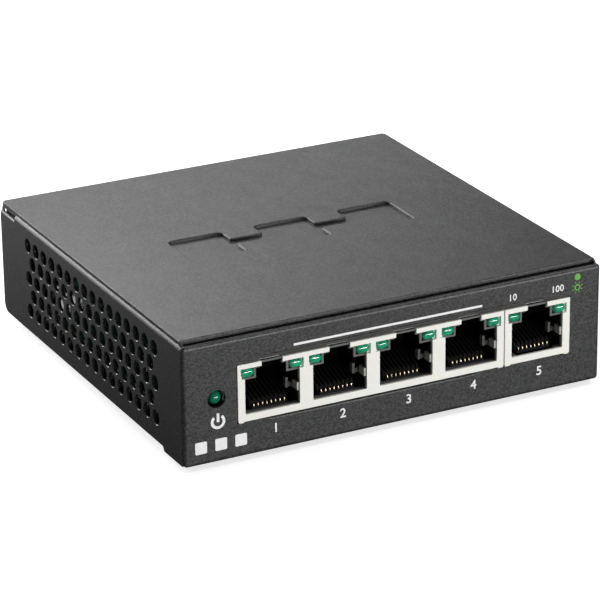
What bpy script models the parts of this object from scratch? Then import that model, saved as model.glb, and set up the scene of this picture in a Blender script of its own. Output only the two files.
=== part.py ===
"""Five-port desktop network switch in a folded steel case.

Lengths below are millimetres, and metre() turns them into Blender's metres.
The origin is the centre of the footprint on the plane of the rubber feet,
with +Z up, the port side facing -Y and +X to the right of the ports.
"""

import math

import bmesh
import bpy
from mathutils import Matrix, Vector

MM = 0.001

# --- driving dimensions -------------------------------------------------
CASE_W = 100.0          # across the side walls
CASE_D = 98.0           # front panel face to the cover's rear edge
CASE_H = 27.7           # underside of the tray to the raised top field
SHEET = 0.8             # sheet steel
FOOT_H = 1.2            # how far the feet stand below the tray
GAP = 0.3               # clearance between neighbouring pieces

FRONT_Y = -CASE_D / 2
REAR_Y = CASE_D / 2
HALF_W = CASE_W / 2
BASE_Z = FOOT_H                     # underside of the tray
TOP_Z = BASE_Z + CASE_H

# cover
RIM_Z = BASE_Z + 27.05              # where the side walls start to bend over
WALL_BEND_R = 0.7
FIELD_HALF_W = HALF_W - 0.4         # raised field on the top
COVER_FRONT_Y = FRONT_Y + SHEET + GAP
NOSE_R = 1.4                        # the top bends down behind the front panel
HEM_DROP = 1.9
WALL_LIFT = 1.0                     # side walls end this far above the tray's underside
TOE_LENGTH = 10.2                   # but reach the underside along this front stretch
SLIT_LENGTH = 8.25
SLIT_Z = BASE_Z + 25.6
SLIT_HEIGHT = 0.7

# vents, staggered rows of round holes in both side walls
VENT_D = 3.3
VENT_PITCH = 4.54
VENT_ROWS = 5
VENT_COLUMNS = 16
VENT_MID_Y = -0.95
VENT_MID_Z = BASE_Z + 14.2
VENT_SIDES = 8

# debossed motif on the top: three squares joined by a line
MOTIF_DEPTH = 0.5
MOTIF_SQUARE = 13.0
MOTIF_PITCH = 21.0
MOTIF_BAR = 3.0

# tray
PANEL_H = 26.95
TRAY_BEND_R = 1.2
TRAY_HALF_W = HALF_W - SHEET - GAP
REAR_PANEL_Y = REAR_Y - SHEET
REAR_PANEL_H = 26.3
REAR_FLANGE = 5.0
SIDE_FLANGE_H = 6.5

# circuit board
BOARD_THICK = 1.6
BOARD_Z = BASE_Z + 4.8              # underside
BOARD_TOP = BOARD_Z + BOARD_THICK
BOARD_HALF_W = 46.5
BOARD_FRONT_Y = FRONT_Y + 2.1
BOARD_REAR_Y = REAR_Y - 2.6
PART_Z = BOARD_TOP + GAP            # where parts stand on the board
BOARD_SCREWS = ((-42, -27), (42, -27), (-42, 40), (42, 40))

# network ports
PORT_PITCH = 15.8
BLOCK_PORTS = 4
PORT_1_X = -29.6
PORT_5_X = 34.15
PORT_HALF_W = 8.02
FRAME_Z0 = BASE_Z + 7.9
FRAME_Z1 = BASE_Z + 20.75
FRAME_FACE_Y = FRONT_Y - 0.2
PORT_DEPTH = 15.7
WINDOW_MARGIN = GAP
MOUTH_HALF_W = 6.35
MOUTH_Z0 = BASE_Z + 9.45
MOUTH_Z1 = BASE_Z + 17.3
MOUTH_DEPTH = 13.0
TROUGH_HALF_W = 4.7
TROUGH_Z = BASE_Z + 8.6
LATCH_HALF_W = 2.45
LATCH_Z1 = BASE_Z + 20.25
LENS_W = 3.1
LENS_H = 2.1
LENS_OFFSET_X = 5.65
LENS_Z = BASE_Z + 18.55
LENS_LENGTH = 6.0
LENS_POCKET = 8.0

# contact combs
CONTACT_COUNT = 8
CONTACT_PITCH = 1.016
CONTACT_W = 0.46
CONTACT_T = 0.34
PIVOT_Y = FRONT_Y + 1.9
PIVOT_Z = BASE_Z + 9.75
CONTACT_RUN = 7.4
CONTACT_RISE = 2.6

# power lamp
LAMP_X = -42.4
LAMP_Z = BASE_Z + 14.2
LAMP_D = 3.0
LAMP_HOLE_D = 4.0

# power socket
SOCKET_X = 33.0
SOCKET_W = 9.0
SOCKET_H = 11.0
SOCKET_DEPTH = 14.0
SOCKET_BORE_D = 6.2
SOCKET_PIN_D = 2.0
SOCKET_REAR_Y = REAR_Y - 0.5
SOCKET_MID_Z = PART_Z + 6.6

# fixings
COVER_SCREW_X = 44.0
TAB_Z = BASE_Z + 3.4
TAB_HALF_L = 4.0
SCREW_PAD_H = 3.0
FOOT_D = 9.0
FOOT_X = 38.0
FOOT_Y = 37.0
KEYHOLE_X = 26.0
KEYHOLE_Y = -4.0
KEYHOLE_D = 7.0
KEYHOLE_SLOT_W = 3.8
KEYHOLE_SLOT_END = 9.0
LOCK_SLOT_X = -38.0
LOCK_SLOT_Z = BASE_Z + 11
LOCK_SLOT_W = 7.0
LOCK_SLOT_H = 3.0


# --- helpers --------------------------------------------------------------
def metre(*values):
    """A vector in metres from lengths in millimetres."""
    return Vector(values) * MM


def finish(mesh, name, origin=(0, 0, 0)):
    """Turn a bmesh in millimetres into a named object whose origin is given."""
    bmesh.ops.recalc_face_normals(mesh, faces=mesh.faces)
    shift = Matrix.Translation(-Vector(origin))
    bmesh.ops.transform(mesh, matrix=Matrix.Scale(MM, 4) @ shift, verts=mesh.verts)
    data = bpy.data.meshes.new(name)
    mesh.to_mesh(data)
    mesh.free()
    thing = bpy.data.objects.new(name, data)
    thing.location = metre(*origin)
    bpy.context.collection.objects.link(thing)
    return thing


def add_box(mesh, low, high):
    """Add an axis-aligned box between two corners."""
    size = [b - a for a, b in zip(low, high)]
    middle = [(a + b) / 2 for a, b in zip(low, high)]
    place = Matrix.Translation(middle) @ Matrix.Diagonal((*size, 1))
    bmesh.ops.create_cube(mesh, size=1, matrix=place)


def add_prism(mesh, outline, axis, start, end):
    """Extrude a closed outline along X, Y or Z between two stations."""
    def point(a, b, c):
        return {"X": (c, a, b), "Y": (a, c, b), "Z": (a, b, c)}[axis]
    near = [mesh.verts.new(point(a, b, start)) for a, b in outline]
    far = [mesh.verts.new(point(a, b, end)) for a, b in outline]
    count = len(outline)
    mesh.faces.new(near)
    mesh.faces.new(far[::-1])
    for i in range(count):
        j = (i + 1) % count
        mesh.faces.new((near[i], far[i], far[j], near[j]))


def circle(middle, diameter, sides, turn=0.0):
    """Corner points of a regular polygon."""
    steps = [turn + 2 * math.pi * i / sides for i in range(sides)]
    r = diameter / 2
    return [(middle[0] + r * math.cos(t), middle[1] + r * math.sin(t)) for t in steps]


def arc(middle, radius, start, end, steps):
    """Points along an arc, angles in degrees."""
    angles = [math.radians(start + (end - start) * i / steps) for i in range(steps + 1)]
    return [(middle[0] + radius * math.cos(t), middle[1] + radius * math.sin(t)) for t in angles]


def box_object(name, low, high, origin=(0, 0, 0)):
    mesh = bmesh.new()
    add_box(mesh, low, high)
    return finish(mesh, name, origin)


def helper(mesh, name):
    """A cutter or an added lump, left out of the finished part."""
    thing = finish(mesh, name)
    thing.hide_render = True
    thing.display_type = "WIRE"
    return thing


def combine(target, other, operation):
    """Cut other from target, or join it on."""
    modifier = target.modifiers.new(other.name, "BOOLEAN")
    modifier.operation = operation
    modifier.solver = "EXACT"
    modifier.object = other


def cut(target, name, *boxes):
    """Cut boxes, which don't touch each other, from target."""
    mesh = bmesh.new()
    for low, high in boxes:
        add_box(mesh, low, high)
    combine(target, helper(mesh, name), "DIFFERENCE")


def join(target, name, *boxes):
    """Join boxes, which overlap target but not each other, on to target."""
    mesh = bmesh.new()
    for low, high in boxes:
        add_box(mesh, low, high)
    combine(target, helper(mesh, name), "UNION")


def drill(target, name, axis, start, end, holes, sides=16):
    """Cut round holes, given as (middle, diameter)."""
    mesh = bmesh.new()
    for middle, diameter in holes:
        add_prism(mesh, circle(middle, diameter, sides), axis, start, end)
    combine(target, helper(mesh, name), "DIFFERENCE")


def material(name, colour, roughness, metallic=0.0):
    made = bpy.data.materials.new(name)
    made.use_nodes = True
    shader = made.node_tree.nodes["Principled BSDF"]
    shader.inputs["Base Color"].default_value = (*colour, 1)
    shader.inputs["Roughness"].default_value = roughness
    shader.inputs["Metallic"].default_value = metallic
    made.diffuse_color = (*colour, 1)
    return made


def dress(thing, made):
    thing.data.materials.append(made)
    return thing


# --- case -----------------------------------------------------------------
def cover_outline():
    """Right half of the cover's outer cross-section, from the wall's foot to the raised field."""
    bend = arc((HALF_W - WALL_BEND_R, RIM_Z - WALL_BEND_R), WALL_BEND_R, 0, 65, 3)
    edge = 0.15
    return [(HALF_W, BASE_Z), *bend, (FIELD_HALF_W, TOP_Z - edge), (FIELD_HALF_W - edge, TOP_Z)]


def top_cover():
    """One folded sheet: raised top field, perforated side walls and two screw tabs."""
    outer = cover_outline()
    inner = [(HALF_W - SHEET, BASE_Z), (HALF_W - SHEET, TOP_Z - SHEET)]
    outline = outer + [(-x, z) for x, z in reversed(outer)]
    outline += [(-x, z) for x, z in inner] + list(reversed(inner))
    mesh = bmesh.new()
    add_prism(mesh, outline, "Y", COVER_FRONT_Y, REAR_Y)
    cover = finish(mesh, "top_cover")
    hem_half_w = HALF_W - 4 * SHEET
    join(cover, "cover_hem", (
        (-hem_half_w, COVER_FRONT_Y, TOP_Z - HEM_DROP),
        (hem_half_w, COVER_FRONT_Y + SHEET, TOP_Z - SHEET / 2)))
    round_nose(cover)
    toe_y = FRONT_Y + TOE_LENGTH
    cut(cover, "cover_foot_cut", (
        (-HALF_W - 5, toe_y, BASE_Z - 5), (HALF_W + 5, REAR_Y + 5, BASE_Z + WALL_LIFT)))
    slit_y = REAR_Y - SLIT_LENGTH
    slit_top = SLIT_Z + SLIT_HEIGHT
    cut(cover, "cover_slits",
        ((HALF_W - SHEET - 1, slit_y, SLIT_Z), (HALF_W + 5, REAR_Y + 5, slit_top)),
        ((-HALF_W - 5, slit_y, SLIT_Z), (-HALF_W + SHEET + 1, REAR_Y + 5, slit_top)))
    tab_in, tab_out, tab_top = COVER_SCREW_X - TAB_HALF_L, HALF_W - SHEET / 2, TAB_Z + SHEET
    join(cover, "cover_tabs",
         ((tab_in, -TAB_HALF_L, TAB_Z), (tab_out, TAB_HALF_L, tab_top)),
         ((-tab_out, -TAB_HALF_L, TAB_Z), (-tab_in, TAB_HALF_L, tab_top)))
    drill(cover, "cover_tab_holes", "Z", TAB_Z - 2, TAB_Z + 3,
          [((COVER_SCREW_X, 0), 3.4), ((-COVER_SCREW_X, 0), 3.4)], 12)
    cut_vents(cover)
    cut_motif(cover)
    return cover


def round_nose(cover):
    """Cut away what lies outside the bend along the top's front edge."""
    middle = (COVER_FRONT_Y + NOSE_R, TOP_Z - NOSE_R)
    bend = arc(middle, NOSE_R, 180, 90, 6)
    outline = [(COVER_FRONT_Y - 1, middle[1]), *bend, (middle[0], TOP_Z + 1), (COVER_FRONT_Y - 1, TOP_Z + 1)]
    mesh = bmesh.new()
    add_prism(mesh, outline, "X", -HALF_W - 5, HALF_W + 5)
    combine(cover, helper(mesh, "cover_nose"), "DIFFERENCE")


def vent_places():
    """Centres (y, z) of the vents: odd rows are one hole shorter and shifted half a pitch."""
    row_step = VENT_PITCH * math.sin(math.radians(60))
    places = []
    for row in range(VENT_ROWS):
        count = VENT_COLUMNS - row % 2
        z = VENT_MID_Z + (row - (VENT_ROWS - 1) / 2) * row_step
        places += [(VENT_MID_Y + (i - (count - 1) / 2) * VENT_PITCH, z) for i in range(count)]
    return places


def cut_vents(cover):
    """Each cutter crosses the whole case, so one opens both walls."""
    mesh = bmesh.new()
    for y, z in vent_places():
        outline = circle((y, z), VENT_D, VENT_SIDES, math.pi / VENT_SIDES)
        add_prism(mesh, outline, "X", -HALF_W - 5, HALF_W + 5)
    combine(cover, helper(mesh, "vent_cutter"), "DIFFERENCE")


def cut_motif(cover):
    """A row of three squares on a bar, pressed into the raised field."""
    half = MOTIF_SQUARE / 2
    low, high = TOP_Z - MOTIF_DEPTH, TOP_Z + 2
    gap = MOTIF_PITCH - MOTIF_SQUARE
    boxes = [((x - half, -half, low), (x + half, half, high))
             for x in (-MOTIF_PITCH, 0, MOTIF_PITCH)]
    cut(cover, "motif_squares", *boxes)
    cut(cover, "motif_bars",
        *[((x - gap / 2 - 0.5, -MOTIF_BAR / 2, low), (x + gap / 2 + 0.5, MOTIF_BAR / 2, high))
          for x in (-MOTIF_PITCH / 2, MOTIF_PITCH / 2)])


def tray_outline():
    """Side view of the folded tray: front panel, floor, rear panel and its top flange."""
    front, rear, r = FRONT_Y, REAR_PANEL_Y, TRAY_BEND_R
    top, back_top = BASE_Z + PANEL_H, BASE_Z + REAR_PANEL_H
    floor = BASE_Z + SHEET
    outline = [(front + 0.35, top), (front, top - 0.4)]
    outline += arc((front + r, BASE_Z + r), r, 180, 270, 3)
    outline += arc((rear - r, BASE_Z + r), r, 270, 360, 3)
    outline += [(rear, back_top), (rear - REAR_FLANGE, back_top), (rear - REAR_FLANGE, back_top - SHEET)]
    outline += [(rear - SHEET, back_top - SHEET), (rear - SHEET, floor), (front + SHEET, floor)]
    return outline + [(front + SHEET, top)]


def base_tray():
    """Front panel, floor, rear panel and low side flanges, folded from one sheet."""
    mesh = bmesh.new()
    add_prism(mesh, tray_outline(), "X", -HALF_W, HALF_W)
    tray = finish(mesh, "base_tray")
    behind = FRONT_Y + SHEET + GAP / 2
    inner, outer = TRAY_HALF_W - SHEET, TRAY_HALF_W + 0.5
    low = BASE_Z + SHEET / 2
    notch = TAB_HALF_L + 1
    side_boxes = []
    for y0, y1, z1 in ((FRONT_Y + SHEET / 2, FRONT_Y + TOE_LENGTH - 0.6, BASE_Z + 25.2),
                       (FRONT_Y + TOE_LENGTH + 2, -notch, BASE_Z + SIDE_FLANGE_H),
                       (notch, REAR_PANEL_Y - 2, BASE_Z + SIDE_FLANGE_H)):
        side_boxes += [((inner, y0, low), (outer, y1, z1)), ((-outer, y0, low), (-inner, y1, z1))]
    join(tray, "tray_side_flanges", *side_boxes)
    cut(tray, "tray_side_cut",
        ((TRAY_HALF_W, behind, BASE_Z - 5), (HALF_W + 5, REAR_Y + 5, TOP_Z + 5)),
        ((-HALF_W - 5, behind, BASE_Z - 5), (-TRAY_HALF_W, REAR_Y + 5, TOP_Z + 5)))
    add_tray_bosses(tray)
    cut_tray_openings(tray)
    return tray


def add_tray_bosses(tray):
    """Standoffs under the board and raised pads around the cover screws."""
    mesh = bmesh.new()
    for place in BOARD_SCREWS:
        add_prism(mesh, circle(place, 6, 12), "Z", BASE_Z + SHEET / 2, BOARD_Z - GAP)
    for side in (-1, 1):
        pad = circle((side * COVER_SCREW_X, 0), 8.4, 16)
        add_prism(mesh, pad, "Z", BASE_Z + SHEET / 2, BASE_Z + SCREW_PAD_H)
    combine(tray, helper(mesh, "tray_bosses"), "UNION")
    drill(tray, "standoff_holes", "Z", BASE_Z + 1.5, BOARD_Z + 1, [(p, 3.1) for p in BOARD_SCREWS], 12)
    cover_screws = [(side * COVER_SCREW_X, 0) for side in (-1, 1)]
    pad_top = BASE_Z + SCREW_PAD_H
    drill(tray, "screw_counterbores", "Z", BASE_Z - 1, pad_top - SHEET, [(p, 6.4) for p in cover_screws])
    drill(tray, "screw_holes", "Z", BASE_Z, pad_top + 1, [(p, 3.4) for p in cover_screws], 12)
    drill(tray, "foot_holes", "Z", BASE_Z - 1, BASE_Z + 2, [(p, 3.8) for p in foot_places()], 12)


def cut_tray_openings(tray):
    """Port window, lamp hole, power socket hole, lock slot and wall-hanging keyholes."""
    left = PORT_1_X - PORT_HALF_W - WINDOW_MARGIN
    right = PORT_5_X + PORT_HALF_W + 0.13 + WINDOW_MARGIN
    cut(tray, "port_window", (
        (left, FRONT_Y - 5, FRAME_Z0 - WINDOW_MARGIN), (right, FRONT_Y + 5, FRAME_Z1 + WINDOW_MARGIN)))
    drill(tray, "lamp_hole", "Y", FRONT_Y - 5, FRONT_Y + 5, [((LAMP_X, LAMP_Z), LAMP_HOLE_D)])
    half = SOCKET_W / 2 + GAP
    cut(tray, "socket_hole", (
        (SOCKET_X - half, REAR_PANEL_Y - 2, PART_Z - GAP),
        (SOCKET_X + half, REAR_Y + 5, PART_Z + SOCKET_H + GAP)))
    slot_x, slot_z = LOCK_SLOT_X, LOCK_SLOT_Z
    cut(tray, "lock_slot", (
        (slot_x, REAR_PANEL_Y - 2, slot_z), (slot_x + LOCK_SLOT_W, REAR_Y + 5, slot_z + LOCK_SLOT_H)))
    half_slot = KEYHOLE_SLOT_W / 2
    for side in (-1, 1):
        name = "keyhole_" + ("left" if side < 0 else "right")
        x, y = side * KEYHOLE_X, KEYHOLE_Y
        drill(tray, name, "Z", BASE_Z - 1, BASE_Z + 2, [((x, y), KEYHOLE_D)], 16)
        cut(tray, name + "_slot", (
            (x - half_slot, y + 2, BASE_Z - 1), (x + half_slot, y + KEYHOLE_SLOT_END, BASE_Z + 2)))


# --- feet and screws --------------------------------------------------------
def foot_places():
    return [(x, y) for y in (-FOOT_Y, FOOT_Y) for x in (-FOOT_X, FOOT_X)]


def turned(mesh, middle, stations, sides):
    """A turned solid about Z: stations are (radius, z) from the bottom up."""
    rings = []
    for radius, z in stations:
        points = circle(middle, 2 * radius, sides)
        rings.append([mesh.verts.new((x, y, z)) for x, y in points])
    mesh.faces.new(rings[0])
    mesh.faces.new(rings[-1][::-1])
    for low, high in zip(rings, rings[1:]):
        for i in range(sides):
            j = (i + 1) % sides
            mesh.faces.new((low[i], high[i], high[j], low[j]))


def rubber_foot(index, place):
    """A soft disc with a stem that pushes up through the tray."""
    r = FOOT_D / 2
    stations = ((r - 0.3, 0), (r, 0.3), (r - 0.2, FOOT_H - GAP), (1.5, FOOT_H - GAP),
                (1.5, BASE_Z + SHEET + 0.5))
    mesh = bmesh.new()
    turned(mesh, place, stations, 20)
    return finish(mesh, f"rubber_foot_{index}", (*place, 0))


def cover_screw(name, side):
    """A pan-head screw that goes up through the tray into the cover's tab."""
    place = (side * COVER_SCREW_X, 0)
    head_top = BASE_Z + SCREW_PAD_H - SHEET - GAP
    stations = ((2.2, BASE_Z + 0.2), (2.7, BASE_Z + 0.8), (2.7, head_top), (1.3, head_top),
                (1.3, TAB_Z + SHEET + 0.2))
    mesh = bmesh.new()
    turned(mesh, place, stations, 16)
    screw = finish(mesh, name, (*place, BASE_Z))
    x, y = place
    for turn, (dx, dy) in (("a", (1.6, 0.3)), ("b", (0.3, 1.6))):
        cut(screw, f"{name}_cross_{turn}", ((x - dx, y - dy, BASE_Z - 1), (x + dx, y + dy, BASE_Z + 1)))
    return screw


def board_screw(index, place):
    """A pan-head screw that clamps the board to a standoff."""
    head = BOARD_TOP + GAP
    stations = ((1.25, BASE_Z + 2.2), (1.25, head), (2.5, head), (2.5, head + 1.1), (2.0, head + 1.7))
    mesh = bmesh.new()
    turned(mesh, place, stations, 14)
    screw = finish(mesh, f"board_screw_{index}", (*place, head))
    x, y = place
    for turn, (dx, dy) in (("a", (1.5, 0.3)), ("b", (0.3, 1.5))):
        cut(screw, f"board_screw_{index}_cross_{turn}",
            ((x - dx, y - dy, head + 0.8), (x + dx, y + dy, head + 3)))
    return screw


# --- board ------------------------------------------------------------------
def circuit_board():
    """The board, notched at each side where the cover's tabs pass."""
    board = box_object("circuit_board", (-BOARD_HALF_W, BOARD_FRONT_Y, BOARD_Z),
                       (BOARD_HALF_W, BOARD_REAR_Y, BOARD_TOP))
    edge = COVER_SCREW_X - TAB_HALF_L - 0.6
    reach = TAB_HALF_L + 0.6
    cut(board, "board_notches",
        ((edge, -reach, BOARD_Z - 1), (BOARD_HALF_W + 5, reach, BOARD_TOP + 1)),
        ((-BOARD_HALF_W - 5, -reach, BOARD_Z - 1), (-edge, reach, BOARD_TOP + 1)))
    drill(board, "board_holes", "Z", BOARD_Z - 1, BOARD_TOP + 1, [(p, 3.2) for p in BOARD_SCREWS], 12)
    return board


def leaded_chip(name, middle, size, leads, sides="xy"):
    """A moulded package with a row of leads along two or four sides."""
    x, y = middle
    w, d, h = size
    z0 = PART_Z + 0.2
    chip = box_object(name, (x - w / 2, y - d / 2, z0), (x + w / 2, y + d / 2, z0 + h),
                      (x, y, PART_Z))
    reach, lead_w, lead_t = 1.1, 0.5, 0.3
    boxes = []
    for i in range(leads):
        t = (i - (leads - 1) / 2) / leads
        low, high = PART_Z, PART_Z + 0.2 + lead_t
        for way in (-1, 1):
            if "x" in sides:
                c = y + t * d * 0.95
                a0, a1 = sorted((x + way * (w / 2 - 0.3), x + way * (w / 2 + reach)))
                boxes.append(((a0, c - lead_w / 2, low), (a1, c + lead_w / 2, high)))
            if "y" in sides:
                c = x + t * w * 0.95
                a0, a1 = sorted((y + way * (d / 2 - 0.3), y + way * (d / 2 + reach)))
                boxes.append(((c - lead_w / 2, a0, low), (c + lead_w / 2, a1, high)))
    join(chip, name + "_leads", *boxes)
    return chip


def turned_part(name, middle, stations, sides=16):
    """A turned part that stands on the board; stations start at the board."""
    mesh = bmesh.new()
    turned(mesh, middle, [(r, PART_Z + z) for r, z in stations], sides)
    return finish(mesh, name, (*middle, PART_Z))


def capacitor(name, middle, diameter, height):
    """An upright can on a square plastic base, with the groove near its foot."""
    r = diameter / 2
    can = turned_part(name, middle, (
        (r, 0.5), (r, 1.2), (r - 0.3, 1.5), (r - 0.3, 1.9), (r, 2.2), (r, height - 0.4), (r - 0.4, height)))
    x, y = middle
    half = r + 0.2
    join(can, name + "_base", ((x - half, y - half, PART_Z), (x + half, y + half, PART_Z + 0.9)))
    return can


def crystal(name, middle):
    """A low metal can with rounded ends, seen from above."""
    x, y = middle
    outline = arc((x + 3.3, y), 2.2, -90, 90, 6) + arc((x - 3.3, y), 2.2, 90, 270, 6)
    mesh = bmesh.new()
    add_prism(mesh, outline, "Z", PART_Z, PART_Z + 3.4)
    return finish(mesh, name, (x, y, PART_Z))


# --- ports ------------------------------------------------------------------
def port_housing(name, centres, left, right):
    """The moulded block around one or more plug cavities."""
    back = FRAME_FACE_Y + PORT_DEPTH
    block = box_object(name, (left, FRAME_FACE_Y, FRAME_Z0), (right, back, FRAME_Z1),
                       (centres[0], FRAME_FACE_Y, FRAME_Z0))
    inside = FRONT_Y + SHEET + GAP
    join(block, name + "_base", ((left + 0.4, inside, PART_Z), (right - 0.4, back - 0.4, FRAME_Z0 + 0.5)))
    out = FRAME_FACE_Y - 1
    deep = FRAME_FACE_Y + MOUTH_DEPTH
    for index, x in enumerate(centres, 1):
        label = f"{name}_{index}"
        cut(block, label + "_mouth", ((x - MOUTH_HALF_W, out, MOUTH_Z0), (x + MOUTH_HALF_W, deep, MOUTH_Z1)))
        cut(block, label + "_latch", (
            (x - LATCH_HALF_W, out, MOUTH_Z1 - 1), (x + LATCH_HALF_W, deep - 1, LATCH_Z1)))
        cut(block, label + "_trough", (
            (x - TROUGH_HALF_W, FRONT_Y + 0.9, TROUGH_Z), (x + TROUGH_HALF_W, deep - 0.5, MOUTH_Z0 + 0.5)))
        half, high = LENS_W / 2 + GAP, LENS_H / 2 + GAP
        for side, lens_x in (("_left", x - LENS_OFFSET_X), ("_right", x + LENS_OFFSET_X)):
            cut(block, label + side + "_lamp_pocket", (
                (lens_x - half, out, LENS_Z - high - 0.3),
                (lens_x + half, FRAME_FACE_Y + LENS_POCKET, LENS_Z + high)))
    return block


def lens(name, x):
    """A link lamp: a rectangular lens with a softened front face."""
    low = (x - LENS_W / 2, FRAME_FACE_Y + 0.1, LENS_Z - LENS_H / 2)
    high = (x + LENS_W / 2, FRAME_FACE_Y + LENS_LENGTH, LENS_Z + LENS_H / 2)
    made = box_object(name, low, high, (x, low[1], LENS_Z))
    bevel = made.modifiers.new("soft_edges", "BEVEL")
    bevel.width = 0.25 * MM
    bevel.segments = 1
    return made


def contact_comb(name, x):
    """Eight spring wires that rise from one insulating bar, which lies on the flex axis."""
    origin = (x, PIVOT_Y, PIVOT_Z)
    span = CONTACT_PITCH * (CONTACT_COUNT - 1) / 2 + 0.55
    comb = box_object(name, (x - span, PIVOT_Y - 0.45, PIVOT_Z - 0.45),
                      (x + span, PIVOT_Y + 0.45, PIVOT_Z + 0.35), origin)
    side = [(PIVOT_Y - 0.2, PIVOT_Z), (PIVOT_Y - 0.1, PIVOT_Z + 0.9),
            (PIVOT_Y + CONTACT_RUN, PIVOT_Z + CONTACT_RISE),
            (PIVOT_Y + CONTACT_RUN, PIVOT_Z + CONTACT_RISE - CONTACT_T),
            (PIVOT_Y + 0.5, PIVOT_Z + 0.9 - CONTACT_T), (PIVOT_Y + 0.3, PIVOT_Z)]
    mesh = bmesh.new()
    for i in range(CONTACT_COUNT):
        middle = x + (i - (CONTACT_COUNT - 1) / 2) * CONTACT_PITCH
        add_prism(mesh, side, "X", middle - CONTACT_W / 2, middle + CONTACT_W / 2)
    combine(comb, helper(mesh, name + "_wires"), "UNION")
    return comb


# --- power lamp and power socket ----------------------------------------------
def power_lamp():
    """A three-millimetre lamp lying along Y, dome towards the front."""
    r = LAMP_D / 2
    tip = FRONT_Y + 0.1
    angles = [math.radians(a) for a in (15, 40, 65, 90)]
    dome = [(r * math.sin(t), tip + r * (1 - math.cos(t))) for t in angles]
    stations = [*dome, (r, tip + 4.2), (r + 0.3, tip + 4.2), (r + 0.3, tip + 5.2)]
    mesh = bmesh.new()
    turned(mesh, (0, 0), stations, 16)
    lay = Matrix.Translation((LAMP_X, 0, LAMP_Z)) @ Matrix.Rotation(-math.pi / 2, 4, "X")
    bmesh.ops.transform(mesh, matrix=lay, verts=mesh.verts)
    return finish(mesh, "power_lamp", (LAMP_X, tip, LAMP_Z))


def lamp_holder():
    """The upright block that carries the power lamp above the board."""
    front = FRONT_Y + SHEET + 1.9
    holder = box_object("lamp_holder", (LAMP_X - 2.7, front, PART_Z),
                        (LAMP_X + 2.7, front + 4.5, LAMP_Z + 2.7), (LAMP_X, front, PART_Z))
    drill(holder, "lamp_bore", "Y", front - 1, front + 3.4, [((LAMP_X, LAMP_Z), LAMP_D + 1.3)], 16)
    return holder


def power_socket():
    """The moulded body of the barrel socket, open to the rear."""
    front = SOCKET_REAR_Y - SOCKET_DEPTH
    half = SOCKET_W / 2
    body = box_object("power_socket", (SOCKET_X - half, front, PART_Z),
                      (SOCKET_X + half, SOCKET_REAR_Y, PART_Z + SOCKET_H),
                      (SOCKET_X, SOCKET_REAR_Y, SOCKET_MID_Z))
    middle = (SOCKET_X, SOCKET_MID_Z)
    drill(body, "socket_bore", "Y", front + 3, SOCKET_REAR_Y + 1, [(middle, SOCKET_BORE_D)], 20)
    cut(body, "socket_spring_slot", (
        (SOCKET_X - 1.9, front + 2, PART_Z + 1.2), (SOCKET_X + 1.9, SOCKET_REAR_Y - 1.5, SOCKET_MID_Z - 2)))
    return body


def socket_pin():
    """The centre pin, with the flange that keeps it in the socket's back wall."""
    front = SOCKET_REAR_Y - SOCKET_DEPTH + 3 + GAP
    r = SOCKET_PIN_D / 2
    tip = SOCKET_REAR_Y - 1.2
    stations = ((2.2, front), (2.2, front + 0.8), (r, front + 0.8), (r, tip - 0.4), (r - 0.4, tip))
    mesh = bmesh.new()
    turned(mesh, (0, 0), stations, 14)
    lay = Matrix.Translation((SOCKET_X, 0, SOCKET_MID_Z)) @ Matrix.Rotation(-math.pi / 2, 4, "X")
    bmesh.ops.transform(mesh, matrix=lay, verts=mesh.verts)
    return finish(mesh, "socket_pin", (SOCKET_X, front, SOCKET_MID_Z))


def socket_spring():
    """The leaf that presses on the plug's sleeve; it flexes about its inner end."""
    y0 = SOCKET_REAR_Y - SOCKET_DEPTH + 2.6
    y1 = SOCKET_REAR_Y - 2.2
    z0 = PART_Z + 1.8
    hump = SOCKET_MID_Z - SOCKET_BORE_D / 2 + 0.35
    t = 0.35
    side = [(y0, z0), (y0, z0 + 0.9), (y1 - 3.2, hump), (y1 - 1.6, hump), (y1, hump - 1.2),
            (y1, hump - 1.2 - t), (y1 - 1.7, hump - t), (y1 - 3.1, hump - t), (y0 + 0.8, z0)]
    mesh = bmesh.new()
    add_prism(mesh, side, "X", SOCKET_X - 1.5, SOCKET_X + 1.5)
    return finish(mesh, "socket_spring", (SOCKET_X, y0 + 0.4, z0 + 0.4))


# --- assembly -----------------------------------------------------------------
def build_case(coat, rubber, zinc):
    dress(top_cover(), coat)
    dress(base_tray(), coat)
    for index, place in enumerate(foot_places(), 1):
        dress(rubber_foot(index, place), rubber)
    dress(cover_screw("cover_screw_left", -1), zinc)
    dress(cover_screw("cover_screw_right", 1), zinc)
    for index, place in enumerate(BOARD_SCREWS, 1):
        dress(board_screw(index, place), zinc)


def build_board(resist, moulding, tin, foil):
    dress(circuit_board(), resist)
    dress(leaded_chip("switch_chip", (-2, -6), (14, 14, 1.6), 8), moulding)
    dress(leaded_chip("line_transformer_quad", (-8, -24), (28, 9, 5.4), 10, "y"), moulding)
    dress(leaded_chip("line_transformer_single", (27, -24), (13, 9, 5.4), 5, "y"), moulding)
    dress(leaded_chip("memory_chip", (-24, 4), (5, 4, 1.5), 4, "y"), moulding)
    dress(leaded_chip("regulator_chip", (18, 30), (6.5, 6.5, 2.3), 3, "y"), moulding)
    dress(crystal("clock_crystal", (-2, 14)), tin)
    dress(capacitor("capacitor_large", (6, 36), 8, 10), foil)
    dress(capacitor("capacitor_small", (-6, 30), 6.3, 7.7), foil)
    spool = ((4, 0), (4, 0.8), (3, 1.1), (3, 2.9), (4, 3.2), (4, 4))
    coil = turned_part("power_inductor", (18, 20), spool)
    dress(coil, moulding)


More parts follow.
